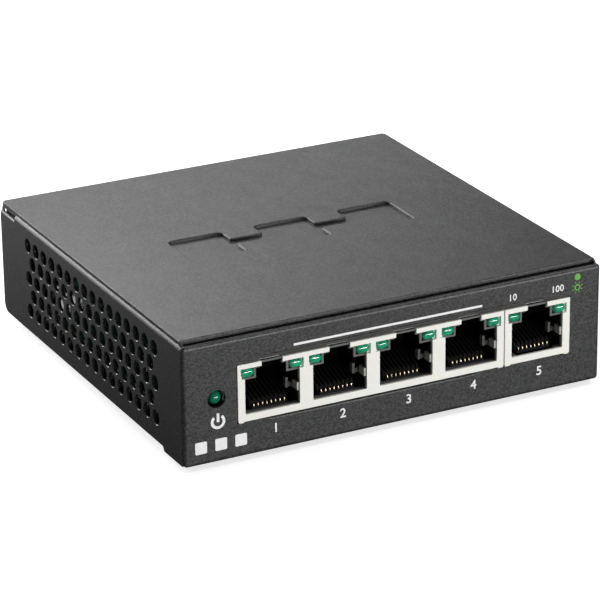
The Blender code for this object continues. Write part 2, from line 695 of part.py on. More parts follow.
def build_ports(ivory, glow, brass):
    centres = [PORT_1_X + i * PORT_PITCH for i in range(BLOCK_PORTS)]
    block_right = centres[-1] + PORT_HALF_W
    dress(port_housing("port_block_1_to_4", centres, centres[0] - PORT_HALF_W, block_right), ivory)
    dress(port_housing("port_block_5", [PORT_5_X], block_right + GAP, PORT_5_X + PORT_HALF_W + 0.13), ivory)
    for number, x in enumerate([*centres, PORT_5_X], 1):
        dress(contact_comb(f"port_{number}_contacts", x), brass)
        dress(lens(f"port_{number}_lamp_left", x - LENS_OFFSET_X), glow)
        dress(lens(f"port_{number}_lamp_right", x + LENS_OFFSET_X), glow)


def build_power(black, glow, brass):
    dress(power_lamp(), glow)
    dress(lamp_holder(), black)
    dress(power_socket(), black)
    dress(socket_pin(), brass)
    dress(socket_spring(), brass)


def main():
    for thing in list(bpy.data.objects):
        bpy.data.objects.remove(thing)
    coat = material("textured_charcoal_coat", (0.06, 0.06, 0.06), 0.55)
    rubber = material("black_rubber", (0.02, 0.02, 0.02), 0.9)
    zinc = material("zinc_plated_steel", (0.6, 0.6, 0.62), 0.35, 1.0)
    resist = material("green_solder_resist", (0.02, 0.16, 0.07), 0.4)
    moulding = material("black_moulding", (0.03, 0.03, 0.03), 0.5)
    tin = material("tinned_steel", (0.7, 0.7, 0.7), 0.3, 1.0)
    foil = material("aluminium_can", (0.75, 0.75, 0.77), 0.3, 1.0)
    ivory = material("ivory_nylon", (0.8, 0.78, 0.7), 0.45)
    glow = material("green_lens", (0.05, 0.45, 0.22), 0.2)
    brass = material("gold_plated_spring", (0.75, 0.6, 0.3), 0.3, 1.0)
    build_case(coat, rubber, zinc)
    build_board(resist, moulding, tin, foil)
    build_ports(ivory, glow, brass)
    build_power(moulding, glow, brass)


main()
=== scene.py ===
"""Looks of the five-port desktop network switch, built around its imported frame.

Lengths are millimetres until place_piece() scales a finished mesh to metres.
The port side faces -Y, +X is to the right of the ports and +Z is up.
"""

import random
from math import atan2, copysign, cos, pi, radians, sin, tan

import bmesh
import bpy
from mathutils import Matrix, Vector


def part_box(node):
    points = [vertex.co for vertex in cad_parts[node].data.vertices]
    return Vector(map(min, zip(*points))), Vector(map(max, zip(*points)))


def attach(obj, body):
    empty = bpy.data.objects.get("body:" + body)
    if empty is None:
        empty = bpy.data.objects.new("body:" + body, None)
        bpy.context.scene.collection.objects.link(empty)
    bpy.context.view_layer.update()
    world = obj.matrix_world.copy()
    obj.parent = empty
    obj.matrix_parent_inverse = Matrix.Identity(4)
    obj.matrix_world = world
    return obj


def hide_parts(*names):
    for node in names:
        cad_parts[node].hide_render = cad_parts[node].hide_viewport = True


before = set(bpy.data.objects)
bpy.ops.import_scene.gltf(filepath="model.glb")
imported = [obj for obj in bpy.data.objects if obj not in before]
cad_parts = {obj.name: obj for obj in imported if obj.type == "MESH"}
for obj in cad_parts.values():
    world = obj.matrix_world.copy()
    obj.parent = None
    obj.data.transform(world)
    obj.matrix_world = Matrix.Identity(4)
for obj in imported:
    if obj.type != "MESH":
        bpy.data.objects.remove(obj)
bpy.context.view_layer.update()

MM = 0.001


# --- places read from the frame -----------------------------------------------
def node_box(node):
    low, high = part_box(node)
    return low / MM, high / MM


COVER_LOW, COVER_HIGH = node_box("top_cover")
TRAY_LOW, TRAY_HIGH = node_box("base_tray")
BOARD_LOW, BOARD_HIGH = node_box("circuit_board")

HALF_W = COVER_HIGH.x
FRONT_Y = TRAY_LOW.y                # face of the front panel
REAR_Y = COVER_HIGH.y
BASE_Z = TRAY_LOW.z                 # underside of the tray
TOP_Z = COVER_HIGH.z                # raised top field
PANEL_TOP_Z = TRAY_HIGH.z
REAR_PANEL_Y = TRAY_HIGH.y
BOARD_TOP = BOARD_HIGH.z
PORTS = (1, 2, 3, 4, 5)
PORT_X = {n: sum(corner.x for corner in node_box(f"port_{n}_contacts")) / 2 for n in PORTS}

# --- case dimensions ----------------------------------------------------------
SHEET = 0.8
RIM_Z = TOP_Z - 0.65                # side walls bend over here, below the field
WALL_BEND_R = 1.3
FIELD_HALF_W = HALF_W - 0.4
FIELD_EDGE_R = 0.16
FIELD_REAR_R = 0.9
NOSE_R = 1.4                        # the top bends down behind the front panel
FOLD_INSET = 1.15
GAP_HALF_W = 49.1
HEM_DROP = 1.9
TOE_LENGTH = 10.2
WALL_LIFT = 1.0
SLIT_LENGTH = 8.25
SLIT_Z = BASE_Z + 25.6
SLIT_HEIGHT = 0.7
VENT_R = 1.65
VENT_PITCH = 4.54
VENT_ROWS = 5
VENT_COLUMNS = 16
VENT_MID = (-0.95, BASE_Z + 14.2)
VENT_SIDES = 20
MOTIF_DEPTH = 0.7
MOTIF_EDGE_R = 0.45
MOTIF_SQUARE = 13.0
MOTIF_PITCH = 21.0
MOTIF_BAR = 3.0
TAB_Z = BASE_Z + 3.4
PANEL_EDGE_R = 0.9
TRAY_HALF_W = HALF_W - SHEET - 0.3
FLANGE_TOP_Z = BASE_Z + 6.5
BOARD_SCREWS = [(x, y) for y in (-27, 40) for x in (-42, 42)]
COVER_SCREW_X = 44.0
SCREW_PITCH = 0.5
KEYHOLE_X = 26.0
LOCK_SLOT = (-38, -31, BASE_Z + 11, BASE_Z + 14)    # x0, x1, z0, z1 in the rear panel

# --- port dimensions ----------------------------------------------------------
BLOCK_TOP = node_box("port_block_5")[1].z
BLOCK_FACE_Y = node_box("port_block_5")[0].y
FRAME_H = 12.85
FRAME_Z0 = BLOCK_TOP - FRAME_H
FRAME_THICK = 0.7                   # the mouth widens around the lamps this near the face
MOUTH_HALF_W = 6.35
MOUTH_Z0 = BLOCK_TOP - 11.3
SHELF_Z = BLOCK_TOP - 3.75          # underside of the walls around the lamps
NOTCH_HALF_W = 2.45
NOTCH_TOP = BLOCK_TOP - 0.5
LAMP_WALL = 0.5
MOUTH_DEPTH = 13.0
INSERT_WALL = 0.35
BEZEL_THICK = 0.5
INSERT_FLOOR = 1.2
CONTACT_PITCH = 1.016
LENS_GAP = 0.08

# --- board dimensions ----------------------------------------------------------
TRACK_Z = (BOARD_TOP - 0.03, BOARD_TOP + 0.035)
WIDE_PITCH = 1.27                   # leads of the transformers and the memory chip
FINE_PITCH = 0.5                    # leads of the switch chip
VIA_COUNT = 46
LEG_OFFSET = 1.27                   # the power lamp's legs, from its middle

# --- camera -------------------------------------------------------------------
CAMERA_PLACE = (-303.4, -607.2, 282.8)
CAMERA_AZIMUTH = radians(-26.68)
CAMERA_ELEVATION = radians(21.74)
CAMERA_ROLL = radians(0.74)
CAMERA_LENS = 195.6


# --- outlines -----------------------------------------------------------------
def rect(a0, b0, a1, b1, r=0.0):
    """Corners (a, b, radius) of a rectangle, anticlockwise."""
    return [(a0, b0, r), (a1, b0, r), (a1, b1, r), (a0, b1, r)]


def around(corners, index):
    """The directions of the sides before and after a corner."""
    before, here, after = (Vector(corners[i % len(corners)][:2]) for i in (index - 1, index, index + 1))
    return (here - before).normalized(), (after - here).normalized()


def grow(corners, distance):
    """The same outline with every side moved outwards."""
    grown = []
    for index, (a, b, r) in enumerate(corners):
        u, v = around(corners, index)
        normals = Vector((u.y, -u.x)), Vector((v.y, -v.x))
        shift = (normals[0] + normals[1]) * (distance / (1 + normals[0].dot(normals[1])))
        convex = 1 if u.cross(v) > 0 else -1
        grown.append((a + shift.x, b + shift.y, r and max(r + convex * distance, 0.002)))
    return grown


def outline(corners, steps=6):
    """Points of an outline, its corners rounded to their radii."""
    points = []
    for index, (a, b, r) in enumerate(corners):
        if not r:
            points.append((a, b))
            continue
        u, v = around(corners, index)
        turn = atan2(u.cross(v), u.dot(v))
        start = Vector((a, b)) - u * r * abs(tan(turn / 2))
        centre = start + Vector((-u.y, u.x)) * copysign(r, turn)
        for k in range(steps + 1):
            points.append(tuple(centre + Matrix.Rotation(turn * k / steps, 2) @ (start - centre)))
    return points


def quarter(r, steps):
    """Offsets (inwards, down) from a sharp edge to the points of a quarter round."""
    return [(r * (1 - sin(t)), r * (1 - cos(t))) for t in (pi / 2 * k / steps for k in range(steps + 1))]


def arc(middle, r, degrees):
    """Points of a circle at the given angles."""
    return [(middle[0] + r * cos(t), middle[1] + r * sin(t)) for t in map(radians, degrees)]


def slab(start, end, r0=0.0, r1=0.0, steps=4):
    """(growth, station) pairs of a slab whose end faces have rounded edges."""
    way = copysign(1, end - start)
    first = [(-a, start + way * b) for a, b in quarter(r0, steps)]
    last = [(-b, end - way * a) for a, b in quarter(r1, steps)]
    return (first if r0 else [(0, start)]) + (last if r1 else [(0, end)])


def at(axis, a, b, c):
    """A point from two outline coordinates and its station along the axis."""
    return {"X": (c, a, b), "Y": (a, c, b), "Z": (a, b, c)}[axis]


# --- solids -------------------------------------------------------------------
def add_loft(mesh, rings):
    """A closed skin through rings of equally many points. Each add_ function returns its mesh."""
    loops = [[mesh.verts.new(point) for point in ring] for ring in rings]
    count = len(loops[0])
    mesh.faces.new(loops[0][::-1])
    mesh.faces.new(loops[-1])
    for low, high in zip(loops, loops[1:]):
        for i in range(count):
            j = (i + 1) % count
            mesh.faces.new((low[i], low[j], high[j], high[i]))
    return mesh


def add_form(mesh, corners, axis, levels, steps=6):
    """A solid that takes an outline through (growth, station) levels along an axis."""
    return add_loft(mesh, [[at(axis, a, b, station) for a, b in outline(grow(corners, growth), steps)]
                           for growth, station in levels])


def add_block(mesh, low, high, edge=0.0, plan=0.0, axis="Z", steps=3):
    """A box with rounded edges; plan rounds its corners seen along the axis."""
    order = {"X": (1, 2, 0), "Y": (0, 2, 1), "Z": (0, 1, 2)}[axis]
    a0, b0, c0 = (low[i] for i in order)
    a1, b1, c1 = (high[i] for i in order)
    corners = rect(a0, b0, a1, b1, max(plan, edge))
    return add_form(mesh, corners, axis, slab(c0, c1, edge, edge, steps), steps)


def add_turned(mesh, axis, middle, stations, sides=32):
    """A turned solid from (radius, station) pairs along the axis."""
    angles = [2 * pi * i / sides for i in range(sides)]
    return add_loft(mesh, [[at(axis, middle[0] + r * cos(t), middle[1] + r * sin(t), c) for t in angles]
                           for r, c in stations])


def add_track(mesh, points, width, axis, start, end):
    """A flat strip along an open line, raised between two stations."""
    line = [Vector(point) for point in points]
    rings = []
    for i, here in enumerate(line):
        before = (here - line[i - 1]).normalized() if i else (line[1] - here).normalized()
        after = (line[i + 1] - here).normalized() if i + 1 < len(line) else before
        across = Vector((before.y + after.y, -before.x - after.x)).normalized()
        across *= width / 2 / max(across.dot(Vector((before.y, -before.x))), 0.3)
        left, right = here - across, here + across
        rings.append([at(axis, *left, start), at(axis, *right, start), at(axis, *right, end),
                      at(axis, *left, end)])
    return add_loft(mesh, rings)


def add_wire(mesh, points, radius, sides=10):
    """A round wire through points, each bend mitred."""
    line = [Vector(point) for point in points]
    rings = []
    for i, here in enumerate(line):
        before = (here - line[i - 1]).normalized() if i else (line[1] - here).normalized()
        after = (line[i + 1] - here).normalized() if i + 1 < len(line) else before
        along = (before + after).normalized()
        side = Vector((1, 0, 0)) if abs(along.x) < 0.9 else Vector((0, 1, 0))
        across = along.cross(side).normalized()
        other = along.cross(across)
        rings.append([here + (across * cos(t) + other * sin(t)) * radius
                      for t in (2 * pi * k / sides for k in range(sides))])
    return add_loft(mesh, rings)


def as_object(mesh, name="tool"):
    bmesh.ops.recalc_face_normals(mesh, faces=mesh.faces)
    data = bpy.data.meshes.new(name)
    mesh.to_mesh(data)
    mesh.free()
    thing = bpy.data.objects.new(name, data)
    bpy.context.collection.objects.link(thing)
    return thing


def bake(thing):
    """Replace an object's mesh by what its modifiers make of it."""
    graph = bpy.context.evaluated_depsgraph_get()
    made = bpy.data.meshes.new_from_object(thing.evaluated_get(graph))
    thing.modifiers.clear()
    thing.data = made


def combine(thing, mesh, operation, tangled=False):
    tool = as_object(mesh)
    modifier = thing.modifiers.new("combine", "BOOLEAN")
    modifier.operation = operation
    modifier.solver = "EXACT"
    modifier.use_self = tangled
    modifier.object = tool
    bake(thing)
    bpy.data.objects.remove(tool)


def cut(thing, mesh, tangled=False):
    combine(thing, mesh, "DIFFERENCE", tangled)


def join(thing, mesh, tangled=False):
    combine(thing, mesh, "UNION", tangled)


def soften(thing, width, segments=2, angle=40):
    """Round the sharp edges a little."""
    modifier = thing.modifiers.new("soften", "BEVEL")
    modifier.width = width
    modifier.segments = segments
    modifier.limit_method = "ANGLE"
    modifier.angle_limit = radians(angle)
    modifier.miter_outer = "MITER_ARC"
    bake(thing)


def place_piece(shape, name, finish, *stands_for, body="tray", slot=None, sharp=38):
    """Scale a finished object or mesh to metres, dress it and let it ride on its body."""
    thing = as_object(shape) if isinstance(shape, bmesh.types.BMesh) else shape
    slot = slot or SLOTS.get(finish.name)
    thing.name = name
    thing.data.name = name
    thing.data.transform(Matrix.Scale(MM, 4))
    thing.data.materials.clear()
    thing.data.materials.append(finish)
    thing.data.shade_smooth()
    thing.data.set_sharp_from_angle(angle=radians(sharp))
    weighted = thing.modifiers.new("even_shading", "WEIGHTED_NORMAL")
    weighted.keep_sharp = True
    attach(thing, body)
    if stands_for:
        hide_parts(*stands_for)
    return thing


# --- materials ----------------------------------------------------------------
def node_maker(material):
    """A function that adds a node, sets inputs and links those given as sockets."""
    tree = material.node_tree

    def add(kind, inputs=(), **settings):
        node = tree.nodes.new("ShaderNode" + kind)
        for key, value in settings.items():
            setattr(node, key, value)
        for key, value in dict(inputs).items():
            if isinstance(value, bpy.types.NodeSocket):
                tree.links.new(value, node.inputs[key])
            else:
                node.inputs[key].default_value = value
        return node
    return add


SLOTS = {}                          # a material slot name recorded for each finish


def surface(name, slot, light, dark, rough, metal=0.0, grain=1500.0, depth=10, blotch=90.0,
            spread=0.08, stretch=(1, 1, 1), edge_glint_colour=None, share=0.5, span=0.14, **extra):
    """A finish with blotches of tone, fine grain in relief and, if an edge colour is given, a painted
    highlight that makes the edges lighter and glossier.

    Scales are per metre, depth is the height of the grain in micrometres, share is how much of
    the tone comes from the blotches, and a small span makes the tones differ more.
    """
    made = bpy.data.materials.new(name)
    made.use_nodes = True
    SLOTS[made.name] = slot
    add = node_maker(made)
    place = add("Mapping", {"Vector": add("TexCoord").outputs["Object"], "Scale": stretch}).outputs[0]
    coarse = add("TexNoise", {"Vector": place, "Scale": blotch, "Detail": 4.0}).outputs[0]
    fine = add("TexNoise", {"Vector": place, "Scale": grain, "Detail": 3.0,
                            "Roughness": 0.55}).outputs[0]
    tone = add("Mix", {0: share, 2: fine, 3: coarse}).outputs[0]
    tone = add("MapRange", {0: tone, 1: 0.5 - span, 2: 0.5 + span}).outputs[0]
    colour = add("Mix", {0: tone, 6: (*dark, 1), 7: (*light, 1)}, data_type="RGBA").outputs[2]
    polish = add("MapRange", {0: coarse, 1: 0.3, 2: 0.7, 3: rough + spread,
                              4: rough - spread}).outputs[0]
    shader = made.node_tree.nodes["Principled BSDF"]
    link = made.node_tree.links.new
    # Painted highlight: edges found by the Bevel node turn lighter and glossier, standing in for the
    # light the edges catch.
    if edge_glint_colour:
        edge = add("VectorMath", {0: add("Bevel", {"Radius": 0.0004}, samples=4).outputs[0],
                                  1: add("NewGeometry").outputs["Normal"]},
                   operation="DOT_PRODUCT").outputs["Value"]
        painted_edge_glint = add("MapRange", {0: edge, 1: 0.995, 2: 0.86}).outputs[0]
        patchy_glint = add("Math", {0: painted_edge_glint, 1: tone}, operation="MULTIPLY").outputs[0]
        colour = add("Mix", {0: patchy_glint, 6: colour, 7: (*edge_glint_colour, 1)}, data_type="RGBA").outputs[2]
        less = add("Math", {0: patchy_glint, 1: 0.12}, operation="MULTIPLY").outputs[0]
        polish = add("Math", {0: polish, 1: less}, operation="SUBTRACT").outputs[0]
    relief = add("Bump", {"Height": fine, "Distance": depth * 1e-6, "Strength": 1.0}).outputs[0]
    link(colour, shader.inputs["Base Color"])
    link(polish, shader.inputs["Roughness"])
    link(relief, shader.inputs["Normal"])
    shader.inputs["Metallic"].default_value = metal
    for key, value in extra.items():
        shader.inputs[key.replace("_", " ")].default_value = value
    return made


# The coat's edges carry a painted highlight, lighter and glossier than the flat paint.
COAT = surface("textured_charcoal_coat", "charcoal_coat", (0.046, 0.047, 0.048), (0.010, 0.010, 0.011),
               0.42, grain=2300, depth=60, blotch=300, spread=0.015, edge_glint_colour=(0.11, 0.11, 0.11),
               share=0.1, span=0.12, stretch=(1, 0.6, 1))
IVORY = surface("ivory_nylon", "ivory_nylon", (0.90, 0.89, 0.84), (0.85, 0.84, 0.78), 0.42, grain=2600,
                depth=4, Subsurface_Weight=0.12, Subsurface_Scale=0.0006)
LENS = surface("green_lens", "green_lens", (0.02, 0.46, 0.24), (0.0, 0.13, 0.065), 0.16, grain=1100,
               depth=90, blotch=900, spread=0.04, Coat_Weight=1.0, Coat_Roughness=0.05)
LAMP = surface("dark_green_lamp", "green_lens", (0.0, 0.26, 0.13), (0.0, 0.13, 0.07), 0.12, grain=900,
               depth=8, blotch=300, spread=0.04, Coat_Weight=1.0, Coat_Roughness=0.05,
               Transmission_Weight=0.3)
# Ivory painted darker: painted shade on the ribs inside the mouths.
IVORY_SHADE_DIM = surface("shaded_nylon", "ivory_nylon", (0.42, 0.42, 0.38), (0.34, 0.34, 0.31), 0.5, grain=2600,
              depth=4)
GOLD = surface("gold_plated_spring", "gold_spring", (0.60, 0.52, 0.38), (0.42, 0.35, 0.24), 0.34,
               metal=1.0, grain=3000, depth=4)
ZINC = surface("zinc_plated_steel", "zinc_steel", (0.72, 0.72, 0.74), (0.52, 0.53, 0.56), 0.33,
               metal=1.0, grain=2200, depth=6, stretch=(1, 4, 1))
TIN = surface("tinned_leads", "tinned_can", (0.80, 0.80, 0.80), (0.62, 0.62, 0.61), 0.30, metal=1.0,
              grain=2500, depth=6)
STEEL = surface("crystal_can", "tinned_can", (0.74, 0.74, 0.73), (0.60, 0.60, 0.60), 0.26, metal=1.0,
                grain=1800, depth=3, stretch=(1, 6, 1))
FOIL = surface("aluminium_can", "aluminium_can", (0.86, 0.86, 0.87), (0.74, 0.74, 0.76), 0.30, metal=1.0,
               grain=2400, depth=4, stretch=(1, 1, 8))
# Near black and barely reflective: painted shade for the insides of the port mouths, where deep shade
# falls; the contact bars take it too.
MOUTH_SHADE_BLACK = surface("mouth_painted_shade_black", None, (0.007, 0.007, 0.007), (0.003, 0.003, 0.003), 0.8, grain=3200,
                 depth=8, Specular_IOR_Level=0.12)
# Ivory painted grey: painted shade on the ivory around each mouth's edge, on its ledges and on the latch
# keys.
IVORY_SHADE_GREY = surface("ivory_painted_shade_grey", None, (0.13, 0.13, 0.125), (0.09, 0.09, 0.088), 0.5, grain=3200,
                depth=8)
RUBBER = surface("black_rubber", "black_rubber", (0.030, 0.030, 0.030), (0.016, 0.016, 0.016), 0.82,
                 grain=2400, depth=30)
MOULDING = surface("black_moulding", "black_moulding", (0.040, 0.040, 0.041), (0.024, 0.024, 0.025),
                   0.52, grain=4200, depth=12)
RESIST = surface("green_solder_resist", "solder_resist", (0.012, 0.135, 0.055), (0.006, 0.085, 0.034),
                 0.33, grain=3400, depth=6, blotch=160, Coat_Weight=0.3)
RAISED_RESIST = surface("resist_over_copper", "solder_resist", (0.035, 0.26, 0.10), (0.025, 0.20, 0.08),
                        0.33, grain=3400, depth=4, Coat_Weight=0.3)
CORE = surface("board_core", "solder_resist", (0.46, 0.40, 0.22), (0.34, 0.29, 0.15), 0.62, grain=5200,
               depth=10, stretch=(1, 1, 12))
CERAMIC = surface("ceramic_tan", "ivory_nylon", (0.44, 0.33, 0.22), (0.34, 0.25, 0.16), 0.5, grain=4200,
                  depth=6)
COPPER = surface("enamelled_copper", "gold_spring", (0.80, 0.33, 0.14), (0.58, 0.21, 0.08), 0.28,
                 metal=1.0, grain=2400, depth=4, stretch=(1, 1, 9))
WHITE_INK = surface("white_ink", None, (0.92, 0.92, 0.91), (0.80, 0.80, 0.79), 0.55, grain=3800,
                    depth=6, blotch=900)
GREEN_INK = surface("green_ink", None, (0.15, 0.46, 0.05), (0.10, 0.34, 0.035), 0.5, grain=3800,
                    depth=6, blotch=900)
FLOOR = surface("pale_floor", None, (0.82, 0.82, 0.82), (0.80, 0.80, 0.80), 0.9, grain=300,
                depth=10, blotch=8, Specular_IOR_Level=0.0)


# --- top cover ----------------------------------------------------------------
def motif_corners():
    """Three squares joined by a bar, as one outline."""
    half, bar = MOTIF_SQUARE / 2, MOTIF_BAR / 2
    lower = []
    for x in (-MOTIF_PITCH, 0, MOTIF_PITCH):
        lower += [(x - half, -bar, 0.7), (x - half, -half, 1.3), (x + half, -half, 1.3),
                  (x + half, -bar, 0.7)]
    lower = lower[1:-1]
    return lower + [(-x, -y, r) for x, y, r in lower]


def vent_places():
    """Centres (y, z) of the vents, every other row shifted half a pitch."""
    row_step = VENT_PITCH * sin(radians(60))
    for row in range(VENT_ROWS):
        count = VENT_COLUMNS - row % 2
        for i in range(count):
            yield (VENT_MID[0] + (i - (count - 1) / 2) * VENT_PITCH,
                   VENT_MID[1] + (row - (VENT_ROWS - 1) / 2) * row_step)


def bent_sheet():
    """The cover's walls and the sheet that joins them, trimmed to its side view."""
    low = BASE_Z - 1
    wide, inner = HALF_W, HALF_W - SHEET
    section = [(wide, low, 0), (wide, RIM_Z, WALL_BEND_R), (-wide, RIM_Z, WALL_BEND_R), (-wide, low, 0),
               (-inner, low, 0), (-inner, RIM_Z - SHEET, 0.3), (inner, RIM_Z - SHEET, 0.3),
               (inner, low, 0)]
    shell = as_object(add_form(bmesh.new(), section, "Y", slab(FRONT_Y, REAR_Y + 1), 8))
    toe_y = FRONT_Y + TOE_LENGTH
    front = COVER_LOW.y
    side = [(front, BASE_Z, 0.3), (toe_y, BASE_Z, 0.4), (toe_y + 0.6, BASE_Z + WALL_LIFT, 0.4),
            (REAR_Y, BASE_Z + WALL_LIFT, 2.3), (REAR_Y, RIM_Z + 0.05, 0.3), (front, RIM_Z + 0.05, 1.3)]
    combine(shell, add_form(bmesh.new(), side, "X", slab(-HALF_W - 5, HALF_W + 5)), "INTERSECT")
    mesh = bmesh.new()
    reach = HALF_W - 2 * SHEET
    add_block(mesh, (-reach, FRONT_Y - 5, RIM_Z - 10), (reach, front + NOSE_R, TOP_Z + 5))
    cut(shell, mesh)
    return shell


def field_sheet():
    """The raised top field, bent down along its front edge, with rounded rear corners."""
    front, rear = COVER_LOW.y, REAR_Y - 0.02
    middle = Vector((front + NOSE_R, TOP_Z - NOSE_R))
    places = [(FIELD_HALF_W, (front, TOP_Z - HEM_DROP), (front + SHEET, TOP_Z - HEM_DROP))]
    for k in range(9):
        out = Vector((-cos(pi * k / 16), sin(pi * k / 16)))
        places.append((FIELD_HALF_W, middle + out * NOSE_R, middle + out * (NOSE_R - SHEET)))
    for k in range(9):
        t = pi * k / 16
        width = FIELD_HALF_W - FIELD_REAR_R * (1 - cos(t))
        y = rear - FIELD_REAR_R * (1 - sin(t))
        places.append((width, (y, TOP_Z), (y, TOP_Z - SHEET)))
    rings = []
    for width, outer, inner in places:
        outer, inner = Vector(outer), Vector(inner)
        section = outline([(-width, 0, 0), (width, 0, 0), (width, SHEET, FIELD_EDGE_R),
                           (-width, SHEET, FIELD_EDGE_R)], 4)
        rings.append([(x, *(inner + (outer - inner) * h / SHEET)) for x, h in section])
    return add_loft(bmesh.new(), rings)


def add_slit_cutters(mesh, side):
    """Opens a wall's rear end: a slit, the rounded edge below it and the set-back strip above it."""
    top, wall, r = SLIT_Z + SLIT_HEIGHT, HALF_W, 0.6
    lip = [(wall - b, SLIT_Z - a) for a, b in reversed(quarter(r, 6))]
    start = REAR_Y - SLIT_LENGTH
    for inner, end in ((wall - 0.45, REAR_Y + 2), (wall - 2 * SHEET, REAR_Y - 0.9)):
        profile = [(inner, SLIT_Z), *lip, (wall + 1, SLIT_Z - r), (wall + 1, TOP_Z - SHEET),
                   (wall - 0.6, TOP_Z - SHEET), (wall - 0.6, top), (inner, top)]
        add_form(mesh, [(side * x, z, 0) for x, z in profile], "Y", slab(start, end))
    corner = 1.0
    points = [(start + 0.1, RIM_Z + 0.5), (start + 0.1, RIM_Z - corner)]
    points += [(start - b, RIM_Z - a) for a, b in quarter(corner, 6)]
    x0, x1 = sorted((side * (wall + 1), side * (FIELD_HALF_W + 0.02)))
    add_loft(mesh, [[(x, y, z) for y, z in points] for x in (x0, x1)])


def front_gap():
    """Between the wall ends the field folds down further back, which leaves a dark gap."""
    fold, r = COVER_LOW.y + FOLD_INSET, 0.3
    points = [(fold + r, TOP_Z + 1), *((fold + a, TOP_Z - b) for a, b in quarter(r, 6)),
              (fold, TOP_Z - 5), (fold - 5, TOP_Z - 5), (fold - 5, TOP_Z + 1)]
    return add_loft(bmesh.new(), [[(x, y, z) for y, z in points] for x in (-GAP_HALF_W, GAP_HALF_W)])


def top_cover():
    cover = bent_sheet()
    join(cover, field_sheet())
    mesh = bmesh.new()
    fold = COVER_LOW.y + FOLD_INSET
    add_block(mesh, (-GAP_HALF_W - 0.2, fold - 0.3, TOP_Z - HEM_DROP),
              (GAP_HALF_W + 0.2, fold + SHEET, TOP_Z - 0.4))
    join(cover, mesh)
    cut(cover, front_gap())
    mesh = bmesh.new()
    for side in (-1, 1):
        x0, x1 = sorted((side * (COVER_SCREW_X - 4), side * (HALF_W - SHEET / 2)))
        add_block(mesh, (x0, -4, TAB_Z), (x1, 4, TAB_Z + SHEET), 0.12, 1.0)
    join(cover, mesh)
    cut_cover(cover)
    place_piece(cover, "top_cover_fine", COAT, "top_cover", body="cover")


def cut_cover(cover):
    mesh = bmesh.new()
    for side in (-1, 1):
        add_turned(mesh, "Z", (side * COVER_SCREW_X, 0), ((1.7, TAB_Z - 1), (1.7, TAB_Z + 2)))
    r, sunk = MOTIF_EDGE_R, TOP_Z - MOTIF_DEPTH
    levels = [(r, TOP_Z + 0.5), (r, TOP_Z + 0.01), *((a, TOP_Z - b) for a, b in quarter(r, 5)[1:]),
              (0, sunk + 0.08), (-0.03, sunk + 0.02), (-0.08, sunk)]
    add_form(mesh, motif_corners(), "Z", levels)
    cut(cover, mesh)
    mesh = bmesh.new()
    for side in (-1, 1):
        add_slit_cutters(mesh, side)
    cut(cover, mesh, tangled=True)
    mesh = bmesh.new()
    wall, flare = HALF_W, 0.12
    profile = ((VENT_R + flare, wall + 0.4), (VENT_R + flare, wall + 0.001), (VENT_R, wall - flare),
               (VENT_R, wall - SHEET + flare), (VENT_R + flare, wall - SHEET - 0.001),
               (VENT_R + flare, wall - SHEET - 0.4))
    for place in vent_places():
        for side in (-1, 1):
            add_turned(mesh, "X", place, [(r, side * x) for r, x in profile], VENT_SIDES)
    cut(cover, mesh)


# --- tray ---------------------------------------------------------------------
def base_tray():
    mesh = bmesh.new()
    corners = rect(-HALF_W, BASE_Z, HALF_W, PANEL_TOP_Z, 0.8)
    levels = [(-PANEL_EDGE_R * a, FRONT_Y + (SHEET - 0.1) * b) for a, b in quarter(1, 10)]
    add_form(mesh, corners, "Y", levels + [(0, FRONT_Y + SHEET)], 8)
    tray = as_object(mesh)
    floor, rear, flange_z = BASE_Z + 0.02, REAR_PANEL_Y, BASE_Z + 26.3
    side = [(FRONT_Y + 0.5, floor, 0), (rear, floor, 1.2), (rear, flange_z, 0.9),
            (rear - 5, flange_z, 0.2), (rear - 5, flange_z - SHEET, 0.2),
            (rear - SHEET, flange_z - SHEET, 0.3), (rear - SHEET, BASE_Z + SHEET, 0.4),
            (FRONT_Y + 0.5, BASE_Z + SHEET, 0)]
    join(tray, add_form(bmesh.new(), side, "X", slab(-TRAY_HALF_W, TRAY_HALF_W, 0.1, 0.1, 2)))
    mesh = bmesh.new()
    for y0, y1, top in ((FRONT_Y + 0.4, FRONT_Y + TOE_LENGTH - 0.6, BASE_Z + 25.2),
                        (FRONT_Y + TOE_LENGTH + 2, -5, FLANGE_TOP_Z),
                        (5, REAR_PANEL_Y - 2, FLANGE_TOP_Z)):
        for inner, outer in ((TRAY_HALF_W - SHEET, TRAY_HALF_W - 0.01),
                             (0.01 - TRAY_HALF_W, SHEET - TRAY_HALF_W)):
            add_block(mesh, (inner, y0, BASE_Z + 0.3), (outer, y1, top), 0.1, 0.8, "X")
    join(tray, mesh)
    mesh = bmesh.new()
    for place in BOARD_SCREWS:
        add_turned(mesh, "Z", place, ((3.6, BASE_Z + 0.5), (3.2, BASE_Z + 1.2), (3, BASE_Z + 1.8),
                                      (3, BOARD_LOW.z)))
    for side in (-1, 1):
        add_turned(mesh, "Z", (side * COVER_SCREW_X, 0),
                   ((4.6, BASE_Z + 0.5), (4.3, BASE_Z + 1.1), (4.2, BASE_Z + 2.8), (4.0, BASE_Z + 3.0)))
    join(tray, mesh)
    cut_tray(tray)
    place_piece(tray, "base_tray_fine", COAT, "base_tray")


def lip_sections(x0, x1, reach, z, up):
    """Rings of a cutter that rolls a window edge inwards, fading out at its ends."""
    rings = []
    for x, share in ((x0 - 0.2, 0.04), (x0 + 0.2, 0.3), (x0 + 0.8, 0.85), (x0 + 1.6, 1), (x1 - 1.6, 1),
                     (x1 - 0.8, 0.85), (x1 - 0.2, 0.3), (x1 + 0.2, 0.04)):
        r = reach * share
        points = [(FRONT_Y - 1, z - up * 0.5), (FRONT_Y - 1, z + up * r),
                  *((FRONT_Y + b, z + up * a) for a, b in quarter(r, 8)), (FRONT_Y + r, z - up * 0.5)]
        rings.append([(x, y, height) for y, height in points])
    return rings


